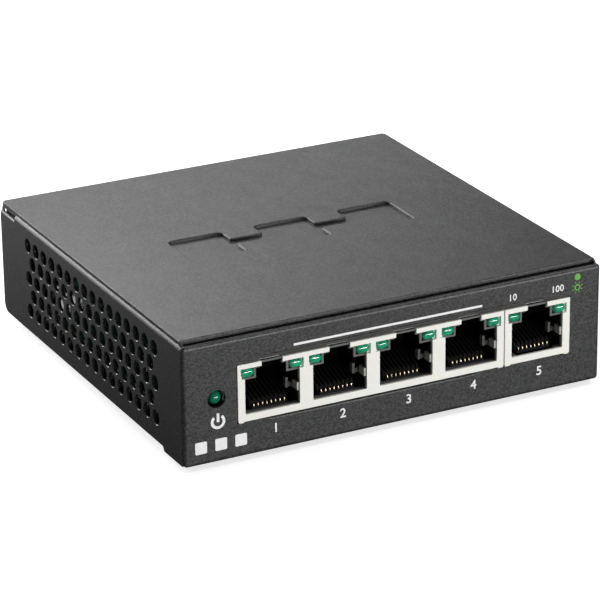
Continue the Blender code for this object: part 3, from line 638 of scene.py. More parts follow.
def cut_tray(tray):
    """Port window with its rolled lips, lamp hole, rear openings, keyholes and screw holes."""
    left = node_box("port_block_1_to_4")[0].x - 0.3
    right = node_box("port_block_5")[1].x + 0.3
    mesh = bmesh.new()
    low, high = FRAME_Z0 - 0.3, BLOCK_TOP + 0.3
    add_block(mesh, (left, FRONT_Y - 5, low), (right, FRONT_Y + 5, high))
    lamp = node_box("power_lamp")
    lamp_middle = ((lamp[0].x + lamp[1].x) / 2, (lamp[0].z + lamp[1].z) / 2)
    add_turned(mesh, "Y", lamp_middle, ((2.2, FRONT_Y - 1), (2.12, FRONT_Y), (2.0, FRONT_Y + 0.12),
                                        (2.0, FRONT_Y + 3)))
    socket = node_box("power_socket")
    add_block(mesh, (socket[0].x - 0.3, REAR_PANEL_Y - 2, socket[0].z - 0.3),
              (socket[1].x + 0.3, REAR_PANEL_Y + 2, socket[1].z + 0.3))
    x0, x1, z0, z1 = LOCK_SLOT
    add_block(mesh, (x0, REAR_PANEL_Y - 2, z0), (x1, REAR_PANEL_Y + 2, z1), 0, 1.4, "Y", 6)
    for side in (-1, 1):
        add_turned(mesh, "Z", (side * KEYHOLE_X, -4), ((3.5, BASE_Z - 1), (3.5, BASE_Z + 2)))
        add_turned(mesh, "Z", (side * COVER_SCREW_X, 0),
                   ((3.3, BASE_Z - 1), (3.2, BASE_Z + 0.2), (3.2, BASE_Z + 2.2), (1.7, BASE_Z + 2.2),
                    (1.7, BASE_Z + 4)))
    for place in BOARD_SCREWS:
        add_turned(mesh, "Z", place, ((1.5, BASE_Z + 1.5), (1.5, BOARD_LOW.z + 1)))
    cut(tray, mesh)
    mesh = bmesh.new()
    for side in (-1, 1):
        x = side * KEYHOLE_X
        add_block(mesh, (x - 1.9, -3, BASE_Z - 1), (x + 1.9, 5, BASE_Z + 2), 0, 1.8, "Z", 6)
    cut(tray, mesh)
    mesh = bmesh.new()
    relief = [(-33.6, high - 0.4, 0), (37.1, high - 0.4, 0), (36.2, high + 0.6, 0.8),
              (-32.7, high + 0.6, 0.8)]
    add_form(mesh, relief, "Y", slab(FRONT_Y - 5, FRONT_Y + 5))
    cut(tray, mesh)
    mesh = bmesh.new()
    add_loft(mesh, lip_sections(-32.4, 35.9, 0.4, high + 0.55, 1))
    add_loft(mesh, lip_sections(-31, 20, 0.6, low + 0.05, -1))
    cut(tray, mesh)


# --- feet and screws ----------------------------------------------------------
def middle_of(node):
    low, high = node_box(node)
    return (low + high) / 2


def rubber_feet():
    for index in range(1, 5):
        node = f"rubber_foot_{index}"
        low, high = node_box(node)
        r = (high.x - low.x) / 2
        place = middle_of(node)[:2]
        mesh = bmesh.new()
        add_turned(mesh, "Z", place, ((r - 1.6, 0.18), (r - 1.5, 0.05), (r - 1.3, 0), (r - 0.5, 0),
                                      (r - 0.15, 0.12), (r, 0.4), (r - 0.12, BASE_Z - 0.12),
                                      (r - 0.3, BASE_Z + 0.01)), 48)
        place_piece(mesh, node + "_fine", RUBBER, node)


def screw(node, head_z, up, head_r, head_h, shank_end, shank_r):
    """A pan-head screw: up is +1 when the head is above its seat, -1 when it is below."""
    place = middle_of(node)[:2]
    stations = [(shank_r - 0.3, shank_end), (shank_r, shank_end + up * 0.4)]
    for k in range(int(abs(head_z - shank_end - up * 0.4) / SCREW_PITCH)):
        z = shank_end + up * (0.4 + SCREW_PITCH * k)
        stations += [(shank_r, z), (shank_r - 0.18, z + up * SCREW_PITCH / 2)]
    stations += [(shank_r, head_z), (head_r, head_z), (head_r, head_z + up * head_h * 0.35),
                 (head_r * 0.93, head_z + up * head_h * 0.7),
                 (head_r * 0.75, head_z + up * head_h * 0.93), (head_r * 0.45, head_z + up * head_h)]
    made = as_object(add_turned(bmesh.new(), "Z", place, stations, 36))
    mesh = bmesh.new()
    top = head_z + up * (head_h + 0.5)
    for dx, dy in ((0.62, 0.17), (0.17, 0.62)):
        corners = rect(place[0] - dx * head_r, place[1] - dy * head_r, place[0] + dx * head_r,
                       place[1] + dy * head_r)
        add_form(mesh, corners, "Z", [(0.15, top), (0, head_z + up * head_h * 0.95),
                                      (-0.1, head_z + up * head_h * 0.3)])
    cut(made, mesh, tangled=True)
    place_piece(made, node + "_fine", ZINC, node)


def screws():
    for side in ("left", "right"):
        screw(f"cover_screw_{side}", BASE_Z + 2.15, -1, 2.7, 1.85, TAB_Z + SHEET + 0.6, 1.3)
    for index in range(1, 5):
        screw(f"board_screw_{index}", BOARD_TOP, 1, 2.6, 1.7, BASE_Z + 2.2, 1.3)


# --- circuit board ------------------------------------------------------------
def circuit_board():
    notch_x, notch_y = COVER_SCREW_X - 4.6, 4.6
    wide, front, rear = BOARD_HIGH.x, BOARD_LOW.y, BOARD_HIGH.y
    right = [(wide, front, 0.6), (wide, -notch_y, 0.4), (notch_x, -notch_y, 0.8),
             (notch_x, notch_y, 0.8), (wide, notch_y, 0.4), (wide, rear, 0.6)]
    corners = right + [(-x, y, r) for x, y, r in reversed(right)]
    skin = 0.06
    for z0, z1, inset, name, finish in ((BOARD_LOW.z + skin, BOARD_TOP - skin, 0, "circuit_board_core",
                                         CORE), (BOARD_TOP - skin, BOARD_TOP, -0.12,
                                                 "circuit_board_resist_top", RESIST),
                                        (BOARD_LOW.z, BOARD_LOW.z + skin, -0.12,
                                         "circuit_board_resist_below", RESIST)):
        layer = as_object(add_form(bmesh.new(), grow(corners, inset), "Z", slab(z0, z1)))
        mesh = bmesh.new()
        for place in BOARD_SCREWS:
            add_turned(mesh, "Z", place, ((1.6, BOARD_LOW.z - 1), (1.6, BOARD_TOP + 1)))
        cut(layer, mesh)
        place_piece(layer, name, finish)
    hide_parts("circuit_board")


def gull_leads(mesh, middle, half_w, half_d, count, pitch, sides, width, drop, reach=1.1):
    """Bent leads along the left, right, front or back of a chip, from its flank to the board."""
    profile = ((-0.2, drop), (0.25, drop), (0.5, 0.14), (reach, 0.07))
    thick = 0.07
    for side in sides:
        sign = -1 if side in "LF" else 1
        for i in range(count):
            along = (i - (count - 1) / 2) * pitch
            rings = []
            for out, height in profile:
                ring = []
                for w, t in ((-1, -1), (1, -1), (1, 1), (-1, 1)):
                    a, z = along + w * width / 2, BOARD_TOP + 0.02 + height + t * thick
                    x, y = (sign * (out + half_w), a) if side in "LR" else (a, sign * (out + half_d))
                    ring.append((middle.x + x, middle.y + y, z))
                rings.append(ring)
            add_loft(mesh, rings)


def chip(node, size, count, pitch, sides, stands=0.15, dot=True, **leads):
    """A moulded package with drafted flanks, a pin-one dimple and its leads."""
    middle = middle_of(node)
    half_w, half_d, height = size[0] / 2, size[1] / 2, size[2]
    low = BOARD_TOP + stands
    mesh = bmesh.new()
    corners = rect(middle.x - half_w, middle.y - half_d, middle.x + half_w, middle.y + half_d, 0.3)
    add_form(mesh, corners, "Z", [(-0.22, low), (0, low + height * 0.48), (0, low + height * 0.52),
                                  (-0.16, low + height - 0.08), (-0.26, low + height)])
    body = as_object(mesh)
    if dot:
        mesh = bmesh.new()
        spot = (middle.x - half_w + 1.3, middle.y - half_d + 1.3)
        add_turned(mesh, "Z", spot, ((0.4, low + height - 0.1), (0.5, low + height + 0.2)), 24)
        cut(body, mesh)
    place_piece(body, node + "_body", MOULDING, node)
    mesh = bmesh.new()
    gull_leads(mesh, middle, half_w, half_d, count, pitch, sides, drop=height * 0.5 + stands, **leads)
    place_piece(mesh, node + "_leads", TIN)


def chips():
    chip("switch_chip", (14, 14, 1.6), 26, FINE_PITCH, "LRFB", width=0.22)
    chip("line_transformer_quad", (28, 9, 5.2), 20, WIDE_PITCH, "FB", width=0.45, reach=1.3)
    chip("line_transformer_single", (13, 9, 5.2), 8, WIDE_PITCH, "FB", width=0.45, reach=1.3)
    chip("memory_chip", (5, 4, 1.5), 4, WIDE_PITCH, "FB", width=0.42)
    chip("regulator_chip", (6.5, 6.5, 2.3), 3, 2.3, "F", width=0.8, dot=False)
    middle = middle_of("regulator_chip")
    mesh = bmesh.new()
    add_block(mesh, (middle.x - 2.7, middle.y + 2.4, BOARD_TOP + 0.02),
              (middle.x + 2.7, middle.y + 5.0, BOARD_TOP + 0.55), 0.08, 0.4)
    place_piece(mesh, "regulator_chip_tab", TIN)


def capacitors():
    for node in ("capacitor_large", "capacitor_small"):
        low, high = node_box(node)
        place = middle_of(node)[:2]
        r = (high.x - low.x) / 2 - 0.2
        top = high.z
        z = BOARD_TOP
        mesh = bmesh.new()
        add_turned(mesh, "Z", place, ((r - 0.2, z + 0.6), (r, z + 0.8), (r, z + 1.4),
                                      (r - 0.32, z + 1.75), (r - 0.32, z + 1.95), (r, z + 2.3),
                                      (r, top - 0.5), (r - 0.15, top - 0.15), (r - 0.5, top)), 48)
        can = as_object(mesh)
        mesh = bmesh.new()
        for dx, dy in ((r * 0.62, 0.09), (0.09, r * 0.62)):
            add_block(mesh, (place[0] - dx, place[1] - dy, top - 0.12),
                      (place[0] + dx, place[1] + dy, top + 1))
        cut(can, mesh, tangled=True)
        place_piece(can, node + "_can", FOIL, node)
        mesh = bmesh.new()
        half = r + 0.2
        corners = [(place[0] - half, place[1] - half, 0.3), (place[0] + half, place[1] - half, 1.6),
                   (place[0] + half, place[1] + half, 1.6), (place[0] - half, place[1] + half, 0.3)]
        add_form(mesh, corners, "Z", slab(z, z + 0.95, 0.05, 0.12, 2))
        place_piece(mesh, node + "_base", MOULDING)
        mesh = bmesh.new()
        add_track(mesh, arc(place, r - 0.62, range(130, 231, 10)), 1.0, "Z", top - 0.03, top + 0.02)
        place_piece(mesh, node + "_mark", MOULDING)


def crystal():
    low, high = node_box("clock_crystal")
    corners = rect(low.x + 0.25, low.y + 0.25, high.x - 0.25, high.y - 0.25, (high.y - low.y) / 2 - 0.26)
    mesh = bmesh.new()
    z = BOARD_TOP
    add_form(mesh, corners, "Z", [(0.25, z + 0.1), (0.3, z + 0.2), (0.3, z + 0.5), (0.22, z + 0.6),
                                  (-0.1, z + 0.68), (-0.1, high.z - 0.4), (-0.22, high.z - 0.1),
                                  (-0.5, high.z)], 12)
    place_piece(mesh, "clock_crystal_can", STEEL, "clock_crystal")


def inductor():
    low, high = node_box("power_inductor")
    place = middle_of("power_inductor")[:2]
    r = (high.x - low.x) / 2
    z, top = BOARD_TOP, high.z
    mesh = bmesh.new()
    add_turned(mesh, "Z", place, ((r - 0.2, z), (r, z + 0.2), (r, z + 0.8), (r - 0.15, z + 0.95),
                                  (r - 1.4, z + 1.0), (r - 1.4, top - 0.9), (r - 0.15, top - 0.85),
                                  (r, top - 0.7), (r, top - 0.2), (r - 0.2, top)), 48)
    place_piece(mesh, "power_inductor_core", MOULDING, "power_inductor")
    mesh = bmesh.new()
    turns, per_turn, wire_r = 5, 36, 0.19
    rise = (top - z - 2.2) / turns
    points = [(place[0] + (r - 1.15) * cos(2 * pi * k / per_turn),
               place[1] + (r - 1.15) * sin(2 * pi * k / per_turn), z + 1.15 + rise * k / per_turn)
              for k in range(turns * per_turn)]
    add_wire(mesh, points, wire_r, 8)
    place_piece(mesh, "power_inductor_winding", COPPER)


# --- printed copper, ink and small parts --------------------------------------
def board_tracks():
    """Copper tracks under the resist, from the ports through the transformers to the switch chip."""
    mesh = bmesh.new()

    def track(width, *points):
        add_track(mesh, points, width, "Z", *TRACK_Z)

    quad = middle_of("line_transformer_quad")
    single = middle_of("line_transformer_single")
    main = middle_of("switch_chip")
    for number in PORTS:
        target = single if number == 5 else quad
        for k in range(4 if number < 5 else 8):
            lead = (k - 3.5) * WIDE_PITCH if number == 5 else ((number - 1) * 5 + k - 9.5) * WIDE_PITCH
            start_x = PORT_X[number] + (k - (3.5 if number == 5 else 1.5)) * CONTACT_PITCH
            end = target.x + lead
            track(0.3, (start_x, -34.5), (start_x, -33.2), (end, -31.2), (end, target.y - 5.4))
    for k in range(20):
        lead = quad.x + (k - 9.5) * WIDE_PITCH
        pin = main.x + (k - 9.5) * FINE_PITCH
        track(0.22, (lead, quad.y + 5.4), (lead, -17.2), (pin, -15.4), (pin, main.y - 7.6))
    for k in range(8):
        lead = single.x + (k - 3.5) * WIDE_PITCH
        y = main.y - 4 + k * FINE_PITCH
        track(0.22, (lead, single.y + 5.4), (lead, y - 1.5), (lead - 1.5, y), (main.x + 7.6, y))
    memory = middle_of("memory_chip")
    for k in range(6):
        y = main.y + 1 + k * FINE_PITCH
        x = memory.x + 8 - k * 0.9
        track(0.22, (main.x - 7.6, y), (x, y), (x - 2, y + 2), (x - 2, y + 8 - k))
    glass = middle_of("clock_crystal")
    for side in (-1, 1):
        x = main.x + side * 1.0
        track(0.25, (x, main.y + 7.6), (x, glass.y - 5), (glass.x + side * 2.4, glass.y - 3.6),
              (glass.x + side * 2.4, glass.y))
    for k in range(5):
        x, y = 22 + k * 1.2, main.y + 2 + k * FINE_PITCH
        track(0.3, (main.x + 7.6, y), (x - 2, y), (x, y + 2), (x, 24 - k))
    for points in ([(33, 34), (33, 30), (29, 26), (24, 26)], [(28, 38), (24, 42), (12, 42)],
                   [(18, 26), (18, 24)], [(-6, 34), (-6, 40), (-12, 43), (-30, 43)],
                   [(-36, 40), (-36, 8), (-30, 2), (-30, -16)],
                   [(36, 30), (38, 26), (38, -16), (36, -19)]):
        track(1.4, *points)
    place_piece(mesh, "board_tracks", RAISED_RESIST)


def small_part_places():
    """Places (x, y, turned) of the small resistors and capacitors around the larger parts."""
    places = [(PORT_X[n] + dx, -31.6, True) for n in PORTS for dx in (-5.6, 5.6)]
    places += [(-22 + 3.2 * k, -15.6, True) for k in range(3)]
    places += [(11 + 3.0 * k, -12.5, True) for k in range(3)]
    places += [(-13.5, -11 + 2.2 * k, False) for k in range(6)]
    places += [(9.6, -10 + 2.2 * k, False) for k in range(5)]
    places += [(-8 + 2.4 * k, 4.6, True) for k in range(6)]
    places += [(-8.5, 14, True), (4.6, 14, True)]
    places += [(-30, 9 + 2.4 * k, False) for k in range(5)]
    places += [(-19, 10 + 2.4 * k, False) for k in range(4)]
    places += [(26.5, 14 + 2.6 * k, False) for k in range(4)]
    places += [(11.5, 22 + 2.6 * k, False) for k in range(3)]
    places += [(-24 + 2.6 * k, 30, True) for k in range(5)]
    places += [(-40, -10 + 2.6 * k, False) for k in range(3)]
    return places


def small_parts():
    """Ceramic and black chip parts with their tinned ends, and the pads they stand on."""
    draw = random.Random(5)
    bodies = {"ceramic": bmesh.new(), "black": bmesh.new()}
    ends, pads = bmesh.new(), bmesh.new()
    long, wide = 1.6, 0.85
    for x, y, turned in small_part_places():
        kind = "ceramic" if draw.random() < 0.55 else "black"
        height = draw.uniform(0.6, 0.85) if kind == "ceramic" else 0.5
        half = (wide / 2, long / 2) if turned else (long / 2, wide / 2)
        z = BOARD_TOP + 0.03
        add_block(bodies[kind], (x - half[0], y - half[1], z), (x + half[0], y + half[1], z + height),
                  0.05)
        for side in (-1, 1):
            dx, dy = (0, side * (long / 2 - 0.14)) if turned else (side * (long / 2 - 0.14), 0)
            ex, ey = (wide / 2 + 0.02, 0.19) if turned else (0.19, wide / 2 + 0.02)
            add_block(ends, (x + dx - ex, y + dy - ey, z - 0.02),
                      (x + dx + ex, y + dy + ey, z + height + 0.02), 0.06)
            px, py = (wide / 2 + 0.1, 0.4) if turned else (0.4, wide / 2 + 0.1)
            add_block(pads, (x + dx * 1.15 - px, y + dy * 1.15 - py, BOARD_TOP - 0.03),
                      (x + dx * 1.15 + px, y + dy * 1.15 + py, BOARD_TOP + 0.05), 0.04)
    place_piece(bodies["ceramic"], "small_capacitors", CERAMIC)
    place_piece(bodies["black"], "small_resistors", MOULDING)
    place_piece(ends, "small_part_ends", TIN)
    for _ in range(VIA_COUNT):
        x, y = draw.uniform(-38, 38), draw.uniform(-14, 44)
        add_turned(pads, "Z", (x, y), ((0.34, BOARD_TOP - 0.03), (0.34, BOARD_TOP + 0.035),
                                       (0.3, BOARD_TOP + 0.05)), 16)
    for place in BOARD_SCREWS:
        add_track(pads, arc(place, 3.1, range(0, 361, 10)), 1.3, "Z", BOARD_TOP - 0.03, BOARD_TOP + 0.04)
    place_piece(pads, "board_pads", TIN)


def board_ink():
    """White outlines around the parts."""
    mesh = bmesh.new()
    z0, z1 = BOARD_TOP - 0.02, BOARD_TOP + 0.045
    for node, margin in (("switch_chip", 0.5), ("memory_chip", 0.5), ("clock_crystal", 0.5),
                         ("capacitor_large", 0.4), ("capacitor_small", 0.4), ("power_inductor", 0.6),
                         ("line_transformer_quad", 0.6), ("line_transformer_single", 0.6),
                         ("regulator_chip", 0.8)):
        low, high = node_box(node)
        a, b, c, d = low.x - margin, low.y - margin, high.x + margin, high.y + margin
        add_track(mesh, [(a + 0.5, b), (c, b), (c, d), (a, d), (a, b + 0.5)], 0.18, "Z", z0, z1)
    for x, y, turned in small_part_places():
        half = (0.75, 1.25) if turned else (1.25, 0.75)
        for side in (-1, 1):
            line = [(x + side * half[0], y - 0.6),
                    (x + side * half[0], y + 0.6)] if turned else [(x - 0.6, y + side * half[1]),
                                                                   (x + 0.6, y + side * half[1])]
            add_track(mesh, line, 0.14, "Z", z0, z1)
    place_piece(mesh, "board_ink", WHITE_INK)


# --- network ports ------------------------------------------------------------
def mouth_shapes(number):
    """Outlines (x, z) of one port's mouth: in the face frame, and in the insert behind it."""
    x = PORT_X[number]
    lens_low, lens_high = node_box(f"port_{number}_lamp_left")
    lens_out = x - lens_low.x + LENS_GAP
    wall_x = x - lens_high.x - LENS_GAP - LAMP_WALL
    bar_z = lens_high.z + 0.1
    sill = [(-MOUTH_HALF_W, MOUTH_Z0, 0.25), (MOUTH_HALF_W, MOUTH_Z0, 0.25)]
    face = [(MOUTH_HALF_W, lens_low.z - LENS_GAP, 0), (lens_out, lens_low.z - LENS_GAP, 0),
            (lens_out, bar_z, 0), (NOTCH_HALF_W, bar_z, 0), (NOTCH_HALF_W, BLOCK_TOP + 1, 0)]
    deep = [(MOUTH_HALF_W, SHELF_Z, 0), (wall_x, SHELF_Z, 0), (wall_x, bar_z - LAMP_WALL, 0),
            (NOTCH_HALF_W, bar_z - LAMP_WALL, 0), (NOTCH_HALF_W, NOTCH_TOP, 0)]
    return [[(x + a, b, r) for a, b, r in sill + half + [(-a, b, r) for a, b, r in reversed(half)]]
            for half in (face, deep)]


def port_block(node, numbers):
    """The ivory block of several ports with the frame around its mouths."""
    low, high = node_box(node)
    behind, back = low.y + FRAME_THICK, low.y + MOUTH_DEPTH + INSERT_WALL
    block = as_object(add_block(bmesh.new(), (low.x, low.y, FRAME_Z0), high))
    join(block, add_block(bmesh.new(), (low.x + 0.4, FRONT_Y + 1.1, BOARD_TOP),
                          (high.x - 0.4, high.y - 0.4, FRAME_Z0 + 0.5)))
    faces, rooms, bars = bmesh.new(), bmesh.new(), []
    for number in numbers:
        x = PORT_X[number]
        add_form(faces, mouth_shapes(number)[0], "Y", slab(low.y - 1, behind))
        half = MOUTH_HALF_W + INSERT_WALL
        room = rect(x - half, MOUTH_Z0 - INSERT_FLOOR, x + half, NOTCH_TOP + 0.2)
        add_form(rooms, room, "Y", slab(behind - 0.1, back))
        bars.append((x - NOTCH_HALF_W, x + NOTCH_HALF_W))
    cut(block, rooms)
    cut(block, faces, tangled=True)
    mesh = bmesh.new()
    for x0, x1 in bars:
        add_block(mesh, (x0, low.y - 1, NOTCH_TOP), (x1, behind + BEZEL_THICK, BLOCK_TOP + 1))
    cut(block, mesh)
    shape_block_top(block, low, high, numbers)
    soften(block, 0.09)
    mesh = bmesh.new()
    for x in (low.x + 0.75, high.x - 0.75):
        add_block(mesh, (x - 0.6, low.y + 0.06, FRAME_Z0 - 0.25), (x + 0.6, low.y + 0.6, FRAME_Z0 + 0.1),
                  0.03)
    join(block, mesh)
    place_piece(block, node + "_fine", IVORY, node)


def port_inserts():
    """What lines each mouth: a bezel around its edge in ivory painted grey as shade, the insert painted
    near black as the shade deep in the mouth, and the rib in ivory painted darker as shade.
    """
    face = BLOCK_FACE_Y
    edge, back = face + FRAME_THICK + BEZEL_THICK, face + MOUTH_DEPTH
    rib = MOUTH_Z0 + 2.85
    for number in PORTS:
        x = PORT_X[number]
        wall = x + MOUTH_HALF_W
        low, high = node_box(f"port_{number}_contacts")
        half = MOUTH_HALF_W + INSERT_WALL - 0.02
        outer = rect(x - half, MOUTH_Z0 - INSERT_FLOOR + 0.02, x + half, NOTCH_TOP + 0.18)
        pieces = []
        for start, end in ((face + FRAME_THICK - 0.05, edge), (edge + 0.01, back + INSERT_WALL - 0.02)):
            piece = as_object(add_form(bmesh.new(), outer, "Y", slab(start, end)))
            cut(piece, add_form(bmesh.new(), mouth_shapes(number)[1], "Y", slab(face - 1, back)))
            mesh = bmesh.new()
            sill = face + (0.1 if number == 5 else 2.0)
            add_block(mesh, (x - 4.7, sill, low.z - 0.25), (x + 4.7, back - 0.5, MOUTH_Z0 + 0.5))
            for side in ("left", "right"):
                lens_low, lens_high = node_box(f"port_{number}_lamp_{side}")
                add_block(mesh, (lens_low.x - 0.06, face - 1, lens_low.z - 0.06),
                          (lens_high.x + 0.06, face + 8, lens_high.z + 0.06))
            for side, height in ((1, rib - 0.35), (1, rib + 2.1), (-1, rib + 2.0), (-1, rib - 0.6)):
                middle = x + side * MOUTH_HALF_W
                add_block(mesh, (middle - 0.22, face - 0.5, height - 0.22),
                          (middle + 0.22, face + 2.4, height + 0.22))
            cut(piece, mesh, tangled=True)
            pieces.append(piece)
        bezel, insert = pieces
        mesh = bmesh.new()
        bar = NOTCH_HALF_W - 0.03
        add_block(mesh, (x - bar, face + FRAME_THICK - 0.3, NOTCH_TOP + 0.02),
                  (x + bar, edge - 0.01, BLOCK_TOP - 0.05))
        ledges = ((-6.3, -4.75), (4.75, 6.3)) if number == 5 else ((-6.3, 6.3),)
        for x0, x1 in ledges:
            add_block(mesh, (x + x0, face + FRAME_THICK + 0.02, MOUTH_Z0 - 0.2),
                      (x + x1, face + 1.95, MOUTH_Z0 + 0.04))
        join(bezel, mesh, tangled=True)
        place_piece(bezel, f"port_{number}_bezel", IVORY_SHADE_GREY)
        for k in range(9):
            add_comb_fin(insert, x + (k - 4) * CONTACT_PITCH, low, high)
        place_piece(insert, f"port_{number}_insert", MOUTH_SHADE_BLACK)
        mesh = bmesh.new()
        add_block(mesh, (wall - 1.9, face + 3.0, rib - 0.1), (wall - 1.3, face + 4.2, rib + 2.2), 0.05)
        add_block(mesh, (wall - 1.45, face + 3.3, rib - 0.1), (wall + 0.1, face + 4.0, rib + 0.9), 0.05)
        place_piece(mesh, f"port_{number}_key", IVORY_SHADE_GREY)
        place_piece(add_block(bmesh.new(), (wall - 0.55, face + 0.35, rib),
                              (wall + 0.1, face + 2.6, rib + 1.8), 0.05), f"port_{number}_rib", IVORY_SHADE_DIM)


def add_comb_fin(insert, x, low, high):
    """A thin wall between two contact wires, a little taller than the wires."""
    line = [(low.y + 0.7, low.z - 0.4, 0), (high.y + 1.2, low.z - 0.4, 0),
            (high.y + 1.2, high.z + 1.0, 0.2), (high.y - 0.2, high.z + 1.0, 0.3),
            (low.y + 1.3, low.z + 2.1, 0.3), (low.y + 0.7, low.z + 1.2, 0.2)]
    fin = as_object(add_form(bmesh.new(), line, "X", slab(x - 0.22, x + 0.22), 3))
    joined = bmesh.new()
    joined.from_mesh(insert.data)
    joined.from_mesh(fin.data)
    joined.to_mesh(insert.data)
    joined.free()
    bpy.data.objects.remove(fin)


def shape_block_top(block, low, high, numbers):
    """Moulding recesses in the top and ribs at the back, seen when the cover is off."""
    mesh = bmesh.new()
    for number in numbers:
        x = PORT_X[number]
        add_block(mesh, (x - 6.2, low.y + 9.4, high.z - 0.4), (x + 6.2, high.y - 1.0, high.z + 1))
        for side in (-1, 1):
            a, b = sorted((side * 4.2, side * 6.9))
            add_block(mesh, (x + a, low.y + 3.2, high.z - 0.35), (x + b, low.y + 8.4, high.z + 1))
    cut(block, mesh)
    mesh = bmesh.new()
    for number in numbers:
        for k in range(4):
            x = PORT_X[number] + (k - 1.5) * 3.2
            add_block(mesh, (x - 0.3, low.y + 10.5, high.z - 0.8),
                      (x + 0.3, high.y - 2.0, high.z - 0.05))
    join(block, mesh)


def port_lamps():
    for number in PORTS:
        for side in ("left", "right"):
            node = f"port_{number}_lamp_{side}"
            low, high = node_box(node)
            low.y = BLOCK_FACE_Y + 0.12
            corners = rect(low.x, low.z, high.x, high.z, 0.95)
            mesh = bmesh.new()
            levels = [(-0.9, low.y - 0.1), (-0.7, low.y - 0.07), (-0.45, low.y + 0.02),
                      (-0.25, low.y + 0.16), (-0.1, low.y + 0.34), (-0.02, low.y + 0.55),
                      (0, low.y + 0.75), (0, high.y)]
            add_form(mesh, corners, "Y", levels, 4)
            place_piece(mesh, node + "_fine", LENS, node, sharp=60)


def port_contacts():
    """Eight gold wires and the bar that carries them, in each port."""
    for number in PORTS:
        node = f"port_{number}_contacts"
        low, high = node_box(node)
        x, r = PORT_X[number], 0.21
        mesh = bmesh.new()
        for k in range(8):
            wire_x = x + (k - 3.5) * CONTACT_PITCH
            add_wire(mesh, [(wire_x, low.y + 0.35, low.z + 0.35), (wire_x, low.y + 0.22, low.z + 0.9),
                            (wire_x, low.y + 0.32, low.z + 1.2), (wire_x, low.y + 0.62, low.z + 1.32),
                            (wire_x, high.y - r, high.z - r)], r)
        place_piece(mesh, node + "_fine", GOLD, node, body=f"contacts_{number}")
        # The bar is drawn in the near-black painted shade of the mouth.
        place_piece(add_block(bmesh.new(), (low.x, low.y, low.z), (high.x, low.y + 0.9, low.z + 0.8),
                              0.1), node + "_bar", MOUTH_SHADE_BLACK, body=f"contacts_{number}",
                    slot="black_moulding")


# --- power lamp and power socket ----------------------------------------------
def power_lamp():
    low, high = node_box("power_lamp")
    middle = middle_of("power_lamp")
    r = 1.5
    dome = arc((0, low.y + r), r, range(-84, 1, 7))
    place_piece(add_turned(bmesh.new(), "Y", (middle.x, middle.z),
                           [*dome, (r, high.y - 1.0), (r + 0.3, high.y - 1.0), (r + 0.3, high.y)], 40),
                "power_lamp_fine", LAMP, "power_lamp")
    low, high = node_box("lamp_holder")
    holder = as_object(add_block(bmesh.new(), (low.x, low.y, BOARD_TOP), high, 0.25, 0.3))
    mesh = bmesh.new()
    add_turned(mesh, "Y", (middle.x, middle.z),
               ((2.3, low.y - 1), (2.15, low.y + 0.2), (2.1, low.y + 3.4)), 32)
    for side in (-1, 1):
        add_block(mesh, (middle.x + side * LEG_OFFSET - 0.3, low.y + 3.4, BOARD_TOP + 1),
                  (middle.x + side * LEG_OFFSET + 0.3, high.y + 1, middle.z))
    cut(holder, mesh, tangled=True)
    place_piece(holder, "lamp_holder_fine", MOULDING, "lamp_holder")
    mesh = bmesh.new()
    for side in (-1, 1):
        x = middle.x + side * LEG_OFFSET
        add_wire(mesh, [(x, low.y + 3.0, middle.z), (x, high.y - 0.6, middle.z),
                        (x, high.y - 0.35, middle.z - 0.3), (x, high.y - 0.35, BOARD_TOP)], 0.22)
    place_piece(mesh, "power_lamp_legs", TIN)


def power_socket():
    low, high = node_box("power_socket")
    middle = middle_of("socket_pin")
    body = as_object(add_block(bmesh.new(), (low.x, low.y, BOARD_TOP), high, 0.2, 0.5, "Y", 4))
    mesh = bmesh.new()
    bore = 3.1
    add_turned(mesh, "Y", (middle.x, middle.z),
               ((bore, low.y + 3), (bore, high.y - 0.5), (bore + 0.35, high.y - 0.05),
                (bore + 0.4, high.y + 1)), 48)
    add_block(mesh, (middle.x - 1.9, low.y + 2, BOARD_TOP + 1.5),
              (middle.x + 1.9, high.y - 1.5, middle.z - 2))
    add_block(mesh, (low.x - 1, low.y + 2.5, BOARD_TOP - 1), (low.x + 0.8, low.y + 6.5, BOARD_TOP + 3.5))
    add_block(mesh, (low.x + 1.6, low.y + 1.5, high.z - 0.5), (high.x - 1.6, high.y - 3.5, high.z + 1))
    cut(body, mesh, tangled=True)
    soften(body, 0.12)
    place_piece(body, "power_socket_fine", MOULDING, "power_socket")
    low, high = node_box("socket_pin")
    mesh = bmesh.new()
    dome = arc((0, high.y - 1), 1, range(0, 81, 10))
    add_turned(mesh, "Y", (middle.x, middle.z),
               [(2.2, low.y), (2.2, low.y + 0.8), (1, low.y + 0.8), *dome], 32)
    place_piece(mesh, "socket_pin_fine", GOLD, "socket_pin")
    socket_spring()


def socket_spring():
    low, high = node_box("socket_spring")
    hump, foot, thick = high.z, low.z, 0.3
    line = [(low.y, foot + 0.15), (low.y, foot + 0.7)]
    line += [(high.y - 3.4, hump - 0.3), (high.y - 2.9, hump - 0.17), (high.y - 2.3, hump - 0.15),
             (high.y - 1.7, hump - 0.3), (high.y - 0.15, hump - 1.15)]
    place_piece(add_track(bmesh.new(), line, thick, "X", low.x, high.x), "socket_spring_fine", GOLD,
                "socket_spring", body="sleeve_spring")


# --- printed marks on the front panel -----------------------------------------
INK = (FRONT_Y - 0.03, FRONT_Y + 0.05)


